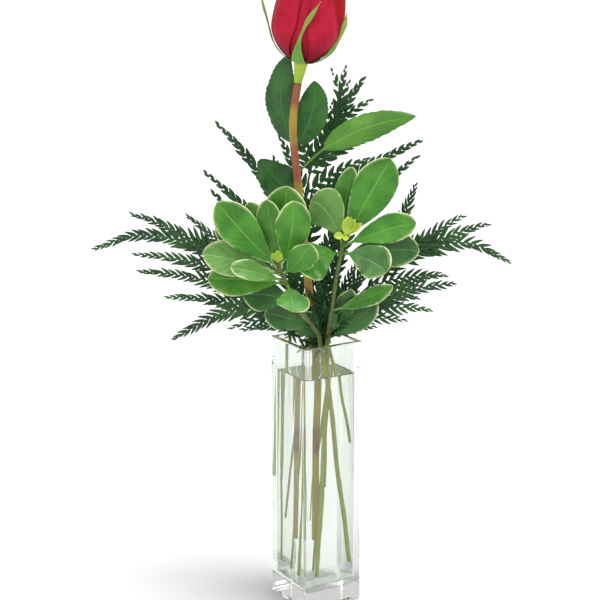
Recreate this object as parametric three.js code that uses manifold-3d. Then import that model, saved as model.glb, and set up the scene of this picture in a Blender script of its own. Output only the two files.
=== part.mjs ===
// A square glass bud vase, filled with water and arranged with one rose,
// two sprigs of variegated pittosporum and five leatherleaf fern fronds.
// Millimetres, +Z up. The origin is the centre of the vase's underside, and its walls face X and Y.
import * as THREE from "three";
import { mergeVertices } from "three/addons/utils/BufferGeometryUtils.js";
import Module from "manifold-3d";

const wasm = await Module();
wasm.setup();

// ---------------------------------------------------------------- driving dimensions

const VASE_SIDE = 50;
const VASE_HEIGHT = 203;
const VASE_WALL = 4.2;
const VASE_FLOOR = 17;
const OUTER_CORNER_RADIUS = 2.5;
const CAVITY_CORNER_RADIUS = 3.5;
const RIM_EDGE = 0.8; // rounding of the vase's outer edges
const FREEBOARD = 25; // from the water's surface up to the rim
const GAP = 0.3; // between pieces that touch
const STEM_CLEARANCE = 1; // between a stem and the wall that it leans on
const ARRANGEMENT_TURN = -32; // degrees about Z: the side that the flowers face

const ROSE_STEM_RADIUS = 2.9;
const ROSE_HEAD_HEIGHT = 201; // from the rim up to the petals' base
const HEAD_TILT = 9; // degrees, the flower head leaning to its right
const HIP_HEIGHT = 13;
const HIP_RADIUS = 5.6;
const BUD_RADIUS = 24.5;
const BUD_HEIGHT = 65;
const BUD_BASE_RADIUS = 4.9;
const BUD_TOP_RADIUS = 18.5;
const PETAL_THICKNESS = 0.5;
const PETAL_STEP = 1.6; // from one layer of petals to the next
const PETAL_BASE_STEP = 0.85;
const PETAL_LIFT = 0.6; // each layer starts a little over the one outside it
const PETAL_FACET = 8; // degrees of a petal's half width for each strip across it
const PETAL_BASE = 0.8; // height of the petals' lower ends over the hip
const SEPAL_THICKNESS = 0.6;
const SEPAL_HALF_WIDTH = 3.6;
const SEPAL_CLEARANCE = 1.3; // between a sepal's middle and the bud

const SPRIG_STEM_RADIUS = 1.8;
const FERN_STEM_RADIUS = 1.2;
const LEAF_THICKNESS = 0.6;
const PINNA_THICKNESS = 0.8;
const PETIOLE_WIDTH = 1.6;
const NECK = 5; // how far a stem goes on straight over the rim before it bends

const RIM = VASE_HEIGHT;
const WATER_TOP = VASE_HEIGHT - FREEBOARD;
const CAVITY_SIDE = VASE_SIDE - 2 * VASE_WALL;
const TURN = THREE.MathUtils.degToRad(ARRANGEMENT_TURN);
const Z_AXIS = new THREE.Vector3(0, 0, 1);

const LOOKS = {
  glass: { color: 0xe6f0ea, roughness: 0.05, metalness: 0, transparent: true, opacity: 0.35 },
  water: { color: 0xeaf4f0, roughness: 0.05, metalness: 0, transparent: true, opacity: 0.3 },
  roseStem: { color: 0x7d8a34, roughness: 0.55, metalness: 0 },
  sepal: { color: 0x6aa03a, roughness: 0.6, metalness: 0 },
  petal: { color: 0xc22743, roughness: 0.5, metalness: 0 },
  roseLeaf: { color: 0x2f7034, roughness: 0.5, metalness: 0 },
  sprigStem: { color: 0x6e6a3c, roughness: 0.7, metalness: 0 },
  sprigLeaf: { color: 0x4f9a3d, roughness: 0.45, metalness: 0 },
  sprigBud: { color: 0xa9c83a, roughness: 0.5, metalness: 0 },
  fern: { color: 0x24583a, roughness: 0.55, metalness: 0 },
};

// ---------------------------------------------------------------- shapes

function vec(x, y, z) {
  return new THREE.Vector3(x, y, z);
}

function smooth(from, to, value) {
  return THREE.MathUtils.smoothstep(value, from, to);
}

// A manifold-3d solid of a closed three.js geometry.
function solidOf(geometry) {
  const bare = new THREE.BufferGeometry();
  bare.setAttribute("position", geometry.getAttribute("position"));
  bare.setIndex(geometry.getIndex());
  const merged = mergeVertices(bare, 1e-3);
  const mesh = new wasm.Mesh({
    numProp: 3,
    vertProperties: new Float32Array(merged.getAttribute("position").array),
    triVerts: new Uint32Array(merged.getIndex().array),
  });
  return new wasm.Manifold(mesh);
}

function geometryOf(solid) {
  const mesh = solid.getMesh();
  const geometry = new THREE.BufferGeometry();
  geometry.setAttribute("position", new THREE.BufferAttribute(mesh.vertProperties, 3));
  geometry.setIndex(new THREE.BufferAttribute(mesh.triVerts, 1));
  geometry.computeVertexNormals();
  return geometry;
}

function subtract(geometry, ...tools) {
  return geometryOf(tools.reduce((solid, tool) => solid.subtract(solidOf(tool)), solidOf(geometry)));
}

function join(geometries) {
  return geometryOf(geometries.map(solidOf).reduce((whole, piece) => whole.add(piece)));
}

function roundedSquare(side, radius) {
  const h = side / 2;
  const shape = new THREE.Shape();
  shape.moveTo(-h + radius, -h);
  shape.lineTo(h - radius, -h);
  shape.absarc(h - radius, -h + radius, radius, -Math.PI / 2, 0);
  shape.lineTo(h, h - radius);
  shape.absarc(h - radius, h - radius, radius, 0, Math.PI / 2);
  shape.lineTo(-h + radius, h);
  shape.absarc(-h + radius, h - radius, radius, Math.PI / 2, Math.PI);
  shape.lineTo(-h, -h + radius);
  shape.absarc(-h + radius, -h + radius, radius, Math.PI, 1.5 * Math.PI);
  return shape;
}

// An upright square bar from one height to another, with rounded corners and eased ends.
function squareBar(side, radius, bottom, top, edge) {
  const geometry = new THREE.ExtrudeGeometry(roundedSquare(side - 2 * edge, radius - edge / 2), {
    depth: top - bottom - 2 * edge,
    curveSegments: 4,
    bevelThickness: edge,
    bevelSize: edge,
    bevelSegments: 2,
    steps: 1,
  });
  return geometry.translate(0, 0, bottom + edge);
}

// A round rod along a curve, with twice `halfSides` flat sides.
function rod(curve, radius, halfSides, steps) {
  const section = new THREE.Shape();
  section.absarc(0, 0, radius, 0, 2 * Math.PI);
  return new THREE.ExtrudeGeometry(section, { extrudePath: curve, steps, curveSegments: halfSides });
}

// A body turned round the Z axis, from [radius, height] points.
function turned(profile, sides) {
  const points = profile.map(([radius, height]) => new THREE.Vector2(radius, height));
  return new THREE.LatheGeometry(points, sides).rotateX(Math.PI / 2);
}

// A thin closed sheet around a surface point(u, v), with u from -1 to 1 across and v from 0 to 1 along.
function sheet(point, thickness, columns, rows) {
  const step = 1e-3;
  const positions = [];
  const normalAt = (u, v) => {
    const across = point(u + step, v).sub(point(u - step, v));
    const along = point(u, v + step).sub(point(u, v - step));
    return across.cross(along).normalize();
  };
  for (const side of [0.5, -0.5]) {
    for (let j = 0; j <= rows; j += 1) {
      for (let i = 0; i <= columns; i += 1) {
        const u = (2 * i) / columns - 1;
        const v = j / rows;
        const p = point(u, v).addScaledVector(normalAt(u, v), side * thickness);
        positions.push(p.x, p.y, p.z);
      }
    }
  }
  const layer = (columns + 1) * (rows + 1);
  const at = (i, j) => j * (columns + 1) + i;
  const faces = [];
  const quad = (a, b, c, d) => faces.push(a, b, c, a, c, d);
  for (let j = 0; j < rows; j += 1) {
    for (let i = 0; i < columns; i += 1) {
      const corners = [at(i, j), at(i + 1, j), at(i + 1, j + 1), at(i, j + 1)];
      quad(...corners);
      quad(...corners.reverse().map((corner) => corner + layer));
    }
  }
  const rim = [];
  for (let i = 0; i < columns; i += 1) rim.push([at(i, 0), at(i + 1, 0)]);
  for (let j = 0; j < rows; j += 1) rim.push([at(columns, j), at(columns, j + 1)]);
  for (let i = columns; i > 0; i -= 1) rim.push([at(i, rows), at(i - 1, rows)]);
  for (let j = rows; j > 0; j -= 1) rim.push([at(0, j), at(0, j - 1)]);
  rim.forEach(([a, b]) => quad(a, a + layer, b + layer, b));
  const geometry = new THREE.BufferGeometry();
  geometry.setAttribute("position", new THREE.Float32BufferAttribute(positions, 3));
  geometry.setIndex(faces);
  return geometry;
}

// A blade on a curved midrib: width(v) is its half width, facing is the way that its face looks.
function blade(midrib, width, facing, cup, thickness, columns, rows) {
  const point = (u, v) => {
    const t = THREE.MathUtils.clamp(v, 0, 1);
    const centre = midrib.getPoint(t).addScaledVector(midrib.getTangent(t), v - t);
    const side = midrib.getTangent(t).cross(facing).normalize();
    const out = side.clone().cross(midrib.getTangent(t)).normalize();
    const half = width(t);
    return centre.addScaledVector(side, half * u).addScaledVector(out, cup * half * u * u);
  };
  return sheet(point, thickness, columns, rows);
}

// The half width of a leaf: a narrow stalk, then a blade that is widest at the share `widest`.
function leafWidth(width, stalk, widest) {
  const power = Math.log(0.5) / Math.log(widest);
  return (v) => {
    const t = Math.max(0, (v - stalk) / (1 - stalk));
    const lobe = Math.sin(Math.PI * Math.min(1, t) ** power) ** 0.75;
    return Math.max(PETIOLE_WIDTH / 2 * (1 - 0.6 * t), (width / 2) * lobe);
  };
}

// A curve whose middle control point stands off the straight line by bow.
function arc(from, to, bow) {
  const middle = from.clone().add(to).multiplyScalar(0.5).add(bow);
  return new THREE.QuadraticBezierCurve3(from, middle, to);
}

function mesh(name, geometry, look) {
  const made = new THREE.Mesh(geometry, new THREE.MeshStandardMaterial(LOOKS[look]));
  made.name = name;
  return made;
}

// ---------------------------------------------------------------- stems in the vase

// Each stem runs straight from its foot to the mouth, and then bends out to its flower or leaves.
// foot and mouth are places in the cavity, as shares of the room that the stem has on X and Y.
// lift is the foot's height over the floor. path gives the bend, from the vase's centre at the rim.
const STEMS = {
  rose: {
    radius: ROSE_STEM_RADIUS,
    foot: [-0.33, 0.2],
    mouth: [-0.15, 0.09],
    lift: 31,
    path: [[-12, 0, 102], [-17, 0, 158], [-13.5, 0, ROSE_HEAD_HEIGHT - HIP_HEIGHT - GAP]],
  },
  sprig_left: {
    radius: SPRIG_STEM_RADIUS,
    foot: [0.95, -0.97],
    mouth: [-0.29, -0.74],
    lift: 13,
    path: [[-9, -30, 26], [-22, -46, 54], [-27, -50, 68]],
  },
  sprig_right: {
    radius: SPRIG_STEM_RADIUS,
    foot: [-0.29, -0.08],
    mouth: [0.11, -0.66],
    lift: 2,
    path: [[11, -20, 26], [15, -31, 58], [20, -34, 84]],
  },
  fern_left: {
    radius: FERN_STEM_RADIUS,
    foot: [-0.85, 0.85],
    mouth: [-0.64, 0.95],
    lift: 10,
    path: [[-26, 16, 14], [-43, 19, 36], [-75, 19, 58], [-104, 19, 70], [-134, 19, 73], [-161, 19, 64]],
  },
  fern_left_low: {
    radius: FERN_STEM_RADIUS,
    foot: [0.92, -0.95],
    mouth: [0.52, 0.12],
    lift: 108,
    path: [[-12, 7, 12], [-27, 0, 18], [-42, -1, 22], [-58, 0, 22], [-78, 0, 15], [-102, 0, 1]],
  },
  fern_back: {
    radius: FERN_STEM_RADIUS,
    foot: [0.44, 0.76],
    mouth: [0.6, 0.86],
    lift: 68,
    path: [[-8, 28, 80], [-4, 29, 122], [10, 29, 150], [22, 29, 170], [31, 29, 184]],
  },
  fern_right: {
    radius: FERN_STEM_RADIUS,
    foot: [-0.38, 0.9],
    mouth: [0.76, 0.33],
    lift: 43,
    path: [[38, 18, 34], [62, 18, 54], [84, 18, 65], [113, 18, 68], [139, 18, 56]],
  },
  fern_right_low: {
    radius: FERN_STEM_RADIUS,
    foot: [-0.18, 0.61],
    mouth: [0.43, -0.2],
    lift: 3,
    path: [[22, -5, 14], [40, -7, 25], [58, -7, 34], [76, -7, 40], [96, -7, 43]],
  },
};

// A place in the cavity, in the arrangement's own frame.
function placeInCavity([x, y], radius, height) {
  const room = CAVITY_SIDE / 2 - radius - STEM_CLEARANCE;
  return vec(x * room, y * room, height).applyAxisAngle(Z_AXIS, -TURN);
}

// The stem's centre line: a straight run in the vase, and a smooth bend that starts along it.
function stemCurve({ radius, foot, mouth, lift, path }) {
  const low = placeInCavity(foot, radius, VASE_FLOOR + lift);
  const high = placeInCavity(mouth, radius, RIM);
  const along = high.clone().sub(low).normalize();
  const neck = high.clone().addScaledVector(along, NECK);
  const bend = new THREE.CatmullRomCurve3([high, neck, ...path.map(([x, y, z]) => vec(x, y, RIM + z))]);
  const line = new THREE.CurvePath();
  line.add(new THREE.LineCurve3(low, high));
  line.add(bend);
  return line;
}

const CURVES = Object.fromEntries(Object.entries(STEMS).map(([name, stem]) => [name, stemCurve(stem)]));

// A point on the stem's bend, at the share t of it.
function onBend(name, t) {
  return CURVES[name].curves[1].getPoint(t);
}

// Half the number of a stem's flat sides: 10 on the rose, 8 on a sprig and 6 on a fern.
function stemHalfSides(name) {
  const { radius } = STEMS[name];
  if (radius === FERN_STEM_RADIUS) return 3;
  return radius === SPRIG_STEM_RADIUS ? 4 : 5;
}

function stemRod(name, grow = 0) {
  return rod(CURVES[name], STEMS[name].radius + grow, stemHalfSides(name), 16);
}

// The straight room that a stem needs in the water, wider than the stem all round.
function stemRoom(name) {
  const { v1: low, v2: high } = CURVES[name].curves[0];
  const below = low.clone().addScaledVector(high.clone().sub(low).normalize(), -GAP);
  return rod(new THREE.LineCurve3(below, high), STEMS[name].radius + 1.5 * GAP, stemHalfSides(name), 1);
}

// ---------------------------------------------------------------- vase and water

function vaseGlass() {
  const outside = squareBar(VASE_SIDE, OUTER_CORNER_RADIUS, 0, VASE_HEIGHT, RIM_EDGE);
  const inside = squareBar(CAVITY_SIDE, CAVITY_CORNER_RADIUS, VASE_FLOOR, VASE_HEIGHT + 10, 2 * RIM_EDGE);
  return subtract(outside, inside);
}

function waterFill() {
  const side = CAVITY_SIDE - 2 * GAP;
  const block = squareBar(side, CAVITY_CORNER_RADIUS - GAP, VASE_FLOOR + GAP, WATER_TOP, 2 * RIM_EDGE);
  const stems = Object.keys(STEMS).map((name) => stemRoom(name).rotateZ(TURN));
  return subtract(block, ...stems);
}

// ---------------------------------------------------------------- rose

// The bud's outline: its outer radius at the height h over the petals' base.
function budRadius(h) {
  const t = THREE.MathUtils.clamp(h / BUD_HEIGHT, 0, 1);
  const widest = 0.38;
  if (t < widest) {
    const swell = Math.sin((Math.PI / 2) * (t / widest)) ** 0.75;
    return BUD_BASE_RADIUS + (BUD_RADIUS - BUD_BASE_RADIUS) * swell;
  }
  const close = ((t - widest) / (1 - widest)) ** 1.8;
  return BUD_RADIUS - (BUD_RADIUS - BUD_TOP_RADIUS) * close;
}

function layerRadius(h, layer) {
  const step = THREE.MathUtils.lerp(PETAL_BASE_STEP, PETAL_STEP, smooth(0, 0.25, h / BUD_HEIGHT));
  return budRadius(h) - layer * step;
}

// The height over the hip at which a layer's petals start.
function layerBase(layer) {
  return PETAL_BASE + layer * PETAL_LIFT;
}

// Petals in layers from the outside in: [centre, half width] in degrees round the bud.
const PETAL_LAYERS = [
  [[205, 48], [312, 41], [80, 61]],
  [[262, 53], [12, 49], [130, 61]],
  [[330, 57], [90, 57], [210, 57]],
  [[30, 86], [210, 86]],
];

function petal(centre, halfWidth, layer) {
  const middle = THREE.MathUtils.degToRad(centre);
  const spread = THREE.MathUtils.degToRad(halfWidth);
  const top = BUD_HEIGHT * (0.93 + 0.02 * layer);
  const point = (u, v) => {
    const angle = middle + spread * (0.3 + 0.7 * smooth(-0.25, 0.5, v)) * u;
    const height = top * v * (1 - 0.14 * v * u * u);
    const radius = layerRadius(height, layer) - PETAL_THICKNESS / 2;
    return vec(radius * Math.cos(angle), radius * Math.sin(angle), height + layerBase(layer));
  };
  return sheet(point, PETAL_THICKNESS, Math.ceil(halfWidth / PETAL_FACET), 7);
}

function budCore() {
  const layers = PETAL_LAYERS.length;
  const base = layerBase(layers);
  const shares = [0, 0.03, 0.08, 0.16, 0.28, 0.42, 0.56, 0.7, 0.82, 0.9];
  const side = shares.map((share) => {
    const h = share * BUD_HEIGHT;
    return [layerRadius(h, layers) - PETAL_THICKNESS - 2 * GAP, h + base];
  });
  const top = 0.96 * BUD_HEIGHT;
  return turned([[0, base], ...side, [6, top], [0, top]], 16);
}

// Sepals hug the bud, then curl away: [place round the bud, height, curl, sideways drift in degrees].
const SEPALS = [
  [188, 46, 12, 0],
  [258, 45, 5, 26],
  [334, 40, 3, 8],
  [46, 44, 3, 0],
  [118, 44, 3, -10],
];

function sepal([centre, height, curl, drift]) {
  const middle = THREE.MathUtils.degToRad(centre);
  const sideways = THREE.MathUtils.degToRad(drift);
  const point = (u, v) => {
    const h = height * v;
    const radius = budRadius(h) + SEPAL_CLEARANCE + curl * smooth(0.35, 1.1, v);
    const swell = 0.75 + 0.5 * Math.sin(Math.PI * Math.min(1, 1.6 * v));
    const half = SEPAL_HALF_WIDTH * Math.max(0, 1 - v) ** 0.8 * swell + 0.5;
    const angle = middle + sideways * v * v + (half * u) / radius;
    return vec(radius * Math.cos(angle), radius * Math.sin(angle), h + PETAL_BASE);
  };
  return sheet(point, SEPAL_THICKNESS, 2, 10);
}

function roseHip() {
  const profile = [
    [0, -HIP_HEIGHT],
    [ROSE_STEM_RADIUS + 0.4, -HIP_HEIGHT],
    [HIP_RADIUS * 0.74, -0.7 * HIP_HEIGHT],
    [HIP_RADIUS * 0.86, -0.45 * HIP_HEIGHT],
    [HIP_RADIUS, -0.15 * HIP_HEIGHT],
    [HIP_RADIUS, 0],
    [0, 0],
  ];
  return turned(profile, 12);
}

function roseHead() {
  const head = new THREE.Group();
  head.add(mesh("rose_hip", roseHip(), "sepal"));
  SEPALS.forEach((values, i) => head.add(mesh(`rose_sepal_${i + 1}`, sepal(values), "sepal")));
  let count = 0;
  PETAL_LAYERS.forEach((petals, layer) => {
    petals.forEach(([centre, halfWidth]) => {
      count += 1;
      head.add(mesh(`rose_petal_${count}`, petal(centre, halfWidth, layer), "petal"));
    });
  });
  head.add(mesh("rose_bud_core", budCore(), "petal"));
  const tilt = THREE.MathUtils.degToRad(HEAD_TILT);
  const axis = vec(Math.sin(tilt), 0, Math.cos(tilt));
  head.position.copy(onBend("rose", 1)).addScaledVector(axis, HIP_HEIGHT + 2 * GAP);
  head.rotation.y = tilt;
  return head;
}

// ---------------------------------------------------------------- leaves

// A leaf grows from its stem at the share t of the bend. tip is measured from the vase's centre at
// the rim, bow is how far the middle stands off the straight line, and facing is the face's way.
const ROSE_LEAVES = {
  rose_leaf_1: { t: 0.68, tip: [-24, 3, 200], width: 23, bow: [-15, 2, 0], facing: [-0.3, -1, 0] },
  rose_leaf_2: { t: 0.66, tip: [-2, 8, 188], width: 26, bow: [11, 2, 0], facing: [0.25, -1, 0] },
  rose_leaf_3: { t: 0.58, tip: [71, 7, 163], width: 22, bow: [-14, 3, 14], facing: [-0.1, -1, 0.3], stalk: 0.3 },
  rose_leaf_4: { t: 0.52, tip: [-41, 5, 132], width: 27, bow: [-3, 2, -6], facing: [-0.2, -1, 0.2] },
};

const LEFT_LEAVES = {
  sprig_left_leaf_1: { t: 0.86, tip: [-69, -50, 110], width: 27, bow: [-3, 5, 0], facing: [0, -1, 0.3] },
  sprig_left_leaf_2: { t: 0.84, tip: [-35, -43, 111], width: 20, bow: [-2, 4, 0], facing: [-0.3, -1, 0] },
  sprig_left_leaf_3: { t: 0.92, tip: [-18, -48, 111], width: 24, bow: [5, 1, -4], facing: [0.3, -1, 0] },
  sprig_left_leaf_4: { t: 0.8, tip: [-79, -54, 75], width: 25, bow: [0, 2, 4], facing: [0, -1, 0.4] },
  sprig_left_leaf_5: { t: 0.74, tip: [-59, -66, 68], width: 15, bow: [0, -4, 3], facing: [0, -1, 0.6] },
  sprig_left_leaf_6: { t: 0.72, tip: [-76, -50, 56], width: 24, bow: [0, 3, 2], facing: [0, -1, 0.2] },
  sprig_left_leaf_7: { t: 0.84, tip: [-5, -54, 82], width: 22, bow: [4, -1, -4], facing: [0.4, -1, 0] },
  sprig_left_leaf_8: { t: 0.72, tip: [-17, -64, 36], width: 24, bow: [4, -4, 0], facing: [0.3, -1, 0.6] },
  sprig_left_leaf_9: { t: 0.8, tip: [-71, -36, 90], width: 16, bow: [0, 2, 0], facing: [0, -1, 0] },
  sprig_left_leaf_10: { t: 0.6, tip: [-52, -42, 43], width: 24, bow: [0, 2, 3], facing: [0, -1, 0.3] },
  sprig_left_leaf_11: { t: 0.76, tip: [-21, -34, 119], width: 32, bow: [-2, 7, 0], facing: [0, -1, 0] },
  sprig_left_leaf_12: { t: 0.13, tip: [-13, -13, 19], width: 20, bow: [0, 0, 3], facing: [0, -1, 0.1] },
  sprig_left_leaf_13: { t: 0.8, tip: [-47, -40, 109], width: 20, bow: [-3, 9, 0], facing: [-0.1, -1, 0] },
  sprig_left_leaf_14: { t: 0.34, tip: [-37, -28, 26], width: 20, bow: [0, 2, 3], facing: [0, -1, 0.2] },
};

const RIGHT_LEAVES = {
  sprig_right_leaf_1: { t: 0.93, tip: [52, -24, 137], width: 31, bow: [-2, 2, 0], facing: [0.2, -1, 0] },
  sprig_right_leaf_2: { t: 0.88, tip: [25, -24, 131], width: 18, bow: [-4, 6, 0], facing: [-0.4, -1, 0] },
  sprig_right_leaf_3: { t: 0.93, tip: [-4, -36, 109], width: 32, bow: [1, 1, 13], facing: [-0.2, -1, 0] },
  sprig_right_leaf_4: { t: 0.92, tip: [70, -34, 93], width: 21, bow: [0, 0, 5], facing: [0.1, -1, 0.4] },
  sprig_right_leaf_5: { t: 0.86, tip: [73, -24, 71], width: 25, bow: [0, 3, 4], facing: [0.1, -1, 0.2] },
  sprig_right_leaf_6: { t: 0.88, tip: [49, -46, 60], width: 26, bow: [5, -3, 5], facing: [0, -1, 0.5] },
  sprig_right_leaf_7: { t: 0.88, tip: [-8, -42, 59], width: 28, bow: [-3, -3, 5], facing: [0, -1, 0.4] },
  sprig_right_leaf_8: { t: 0.16, tip: [25, -19, 42], width: 15, bow: [3, 1, 0], facing: [0.2, -1, 0] },
  sprig_right_leaf_9: { t: 0.5, tip: [55, -17, 44], width: 13, bow: [0, 0, -4], facing: [0, -1, 0] },
  sprig_right_leaf_10: { t: 0.1, tip: [44, -12, 31], width: 17, bow: [2, 1, -5], facing: [0, -1, 0.3] },
};

const ROSE_LEAF_FORM = { stalk: 0.08, widest: 0.42, cup: -0.12 };
const SPRIG_LEAF_FORM = { stalk: 0.14, widest: 0.62, cup: 0.16 };

function leaf(stemName, form, { t, tip, width, bow, facing, stalk = form.stalk }) {
  const start = onBend(stemName, t);
  const end = vec(tip[0], tip[1], RIM + tip[2]);
  const outline = leafWidth(width, stalk, form.widest);
  const facingWay = vec(...facing).normalize();
  return blade(arc(start, end, vec(...bow)), outline, facingWay, form.cup, LEAF_THICKNESS, 2, 8);
}

// Leaves stop a gap short of the stem that bears them.
function leaves(stemName, table, form, look) {
  const bark = stemRod(stemName, GAP);
  return Object.entries(table).map(([name, values]) => {
    return mesh(name, subtract(leaf(stemName, form, values), bark), look);
  });
}

// The tight cluster of young leaves at a sprig's tip: plump teardrops joined into one tuft.
function sprigTuft(stemName) {
  const end = onBend(stemName, 1);
  const before = onBend(stemName, 0.94);
  const along = end.clone().sub(before).normalize();
  const drop = () => new THREE.SphereGeometry(2.5, 7, 5).scale(1, 1, 1.9);
  const places = [[0, 0, 5.2], [2.8, -1, 4.9], [-1.8, 2.4, 5], [-1.6, -2.4, 4.8]];
  const turn = new THREE.Quaternion().setFromUnitVectors(Z_AXIS, along);
  const drops = places.map(([x, y, z]) => drop().translate(x, y, z + GAP));
  return join(drops).applyQuaternion(turn).translate(end.x, end.y, end.z);
}

// ---------------------------------------------------------------- ferns

// Each frond's side branches: [share of the bend where it leaves, tip from the vase's centre at the rim].
const PINNAE = {
  fern_left: [
    [0.5, [-132, 17, 88]],
    [0.42, [-131, 21, 58]],
    [0.34, [-127, 17, 46]],
    [0.24, [-108, 20, 26]],
    [0.36, [-92, 16, 86]],
  ],
  fern_left_low: [
    [0.42, [-68, 1, 37]],
    [0.36, [-60, -2, 9]],
    [0.3, [-42, -3, 38]],
  ],
  fern_back: [
    [0.24, [-79, 27, 116]],
    [0.3, [-70, 31, 151]],
    [0.18, [-74, 28, 101]],
    [0.5, [-31, 30, 182]],
    [0.26, [70, 27, 128]],
    [0.36, [72, 31, 140]],
    [0.52, [45, 27, 150]],
    [0.66, [44, 31, 171]],
    [0.74, [20, 30, 192]],
  ],
  fern_right: [
    [0.44, [71, 19, 108]],
    [0.4, [104, 16, 87]],
    [0.5, [122, 20, 81]],
    [0.34, [92, 16, 44]],
    [0.26, [72, 20, 26]],
  ],
  fern_right_low: [
    [0.56, [86, -6, 50]],
    [0.46, [80, -8, 24]],
    [0.32, [62, -7, 16]],
    [0.3, [50, -6, 42]],
  ],
};

const PINNA_WIDTH = 12;
const TIP_SHARE = 0.55; // the share of the bend past which the frond's own tip bears leaf

function pinna(start, end) {
  const facing = vec(0, -1, 0);
  const bow = vec(0, 0, 0.1 * start.distanceTo(end));
  const width = (v) => (PINNA_WIDTH / 2) * Math.sin(Math.PI * (0.16 + 0.8 * v)) ** 0.9;
  return blade(arc(start, end, bow), width, facing, 0, PINNA_THICKNESS, 1, 4);
}

// The leafy end of the frond, which follows the stem's own bend.
function frondTip(name) {
  const samples = [0, 0.25, 0.5, 0.75, 1].map((s) => onBend(name, TIP_SHARE + s * (1 - TIP_SHARE)));
  const beyond = samples[4].clone().sub(samples[3]).multiplyScalar(0.15).add(samples[4]);
  const line = new THREE.CatmullRomCurve3([...samples, beyond]);
  const width = (v) => (PINNA_WIDTH / 2) * Math.sin(Math.PI * (0.2 + 0.76 * v)) ** 0.9;
  return blade(line, width, vec(0, -1, 0), 0, PINNA_THICKNESS, 1, 6);
}

function frond(name) {
  const branches = PINNAE[name].map(([t, [x, y, z]]) => pinna(onBend(name, t), vec(x, y, RIM + z)));
  return join([stemRod(name), frondTip(name), ...branches]);
}

// ---------------------------------------------------------------- assembly

const vase = new THREE.Group();
vase.add(mesh("vase_glass", vaseGlass(), "glass"));
vase.add(mesh("water_fill", waterFill(), "water"));

const rose = new THREE.Group();
rose.add(mesh("rose_stem", stemRod("rose"), "roseStem"));
rose.add(roseHead());
rose.add(...leaves("rose", ROSE_LEAVES, ROSE_LEAF_FORM, "roseLeaf"));

function sprig(name, table) {
  const group = new THREE.Group();
  group.add(mesh(`${name}_stem`, stemRod(name), "sprigStem"));
  group.add(...leaves(name, table, SPRIG_LEAF_FORM, "sprigLeaf"));
  group.add(mesh(`${name}_tuft`, sprigTuft(name), "sprigBud"));
  return group;
}

const ferns = new THREE.Group();
Object.keys(PINNAE).forEach((name) => ferns.add(mesh(name, frond(name), "fern")));

const arrangement = new THREE.Group();
arrangement.add(rose, sprig("sprig_left", LEFT_LEAVES), sprig("sprig_right", RIGHT_LEAVES), ferns);
arrangement.rotation.z = TURN;

const budVase = new THREE.Group();
budVase.add(vase, arrangement);
export default budVase;
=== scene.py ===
"""A square glass bud vase of water, arranged with one rose, two sprigs of variegated pittosporum and
five leatherleaf fern fronds.

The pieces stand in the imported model's own frame, in metres with +Z up. The flowers and leaves are drawn
in the arrangement's frame, in millimetres: x to the right, y away from the front, z up from the floor.
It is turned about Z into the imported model's frame as each mesh is made.
"""

import logging
import math
from collections.abc import Callable, Sequence
from dataclasses import dataclass, field
from enum import Enum

import bpy
import numpy as np
from mathutils import Matrix, Vector


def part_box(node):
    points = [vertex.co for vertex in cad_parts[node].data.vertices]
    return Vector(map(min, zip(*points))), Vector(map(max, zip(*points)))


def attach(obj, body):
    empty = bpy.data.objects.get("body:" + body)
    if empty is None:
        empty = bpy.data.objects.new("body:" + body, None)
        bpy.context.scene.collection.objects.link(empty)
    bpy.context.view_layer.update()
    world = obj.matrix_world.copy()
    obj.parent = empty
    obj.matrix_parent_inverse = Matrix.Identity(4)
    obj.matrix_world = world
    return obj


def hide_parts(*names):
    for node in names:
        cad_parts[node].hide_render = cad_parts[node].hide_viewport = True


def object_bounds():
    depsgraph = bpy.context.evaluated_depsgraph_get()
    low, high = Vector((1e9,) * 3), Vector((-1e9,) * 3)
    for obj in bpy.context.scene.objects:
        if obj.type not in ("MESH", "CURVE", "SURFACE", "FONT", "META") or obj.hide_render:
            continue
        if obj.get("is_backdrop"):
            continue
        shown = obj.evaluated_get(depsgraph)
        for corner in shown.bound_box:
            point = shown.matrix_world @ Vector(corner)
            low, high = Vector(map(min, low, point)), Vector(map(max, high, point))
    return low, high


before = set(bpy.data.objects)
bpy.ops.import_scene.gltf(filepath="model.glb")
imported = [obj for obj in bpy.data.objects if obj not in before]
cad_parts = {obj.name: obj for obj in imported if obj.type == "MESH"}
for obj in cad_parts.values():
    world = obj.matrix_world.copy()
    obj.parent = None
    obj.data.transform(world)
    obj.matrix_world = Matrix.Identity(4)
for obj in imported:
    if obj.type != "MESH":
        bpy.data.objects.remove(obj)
CAD_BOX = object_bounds()

log = logging.getLogger("bud_vase")

MM = 0.001
FRONT_TURN = math.radians(-32)  # the arrangement's front, turned about Z from the vase's own
WHITE = (1.0, 1.0, 1.0, 1.0)

Array = np.ndarray
Colour = tuple[float, float, float]
Triple = tuple[float, float, float]


class Body(Enum):
    """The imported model's bodies that pieces ride on."""

    VASE = "vase"
    ROSE = "rose"
    SPRIG_LEFT = "sprig_left"
    SPRIG_RIGHT = "sprig_right"
    FERN_LEFT = "fern_left"
    FERN_LEFT_LOW = "fern_left_low"
    FERN_BACK = "fern_back"
    FERN_RIGHT = "fern_right"
    FERN_RIGHT_LOW = "fern_right_low"


# ---------------------------------------------------------------- node trees


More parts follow.
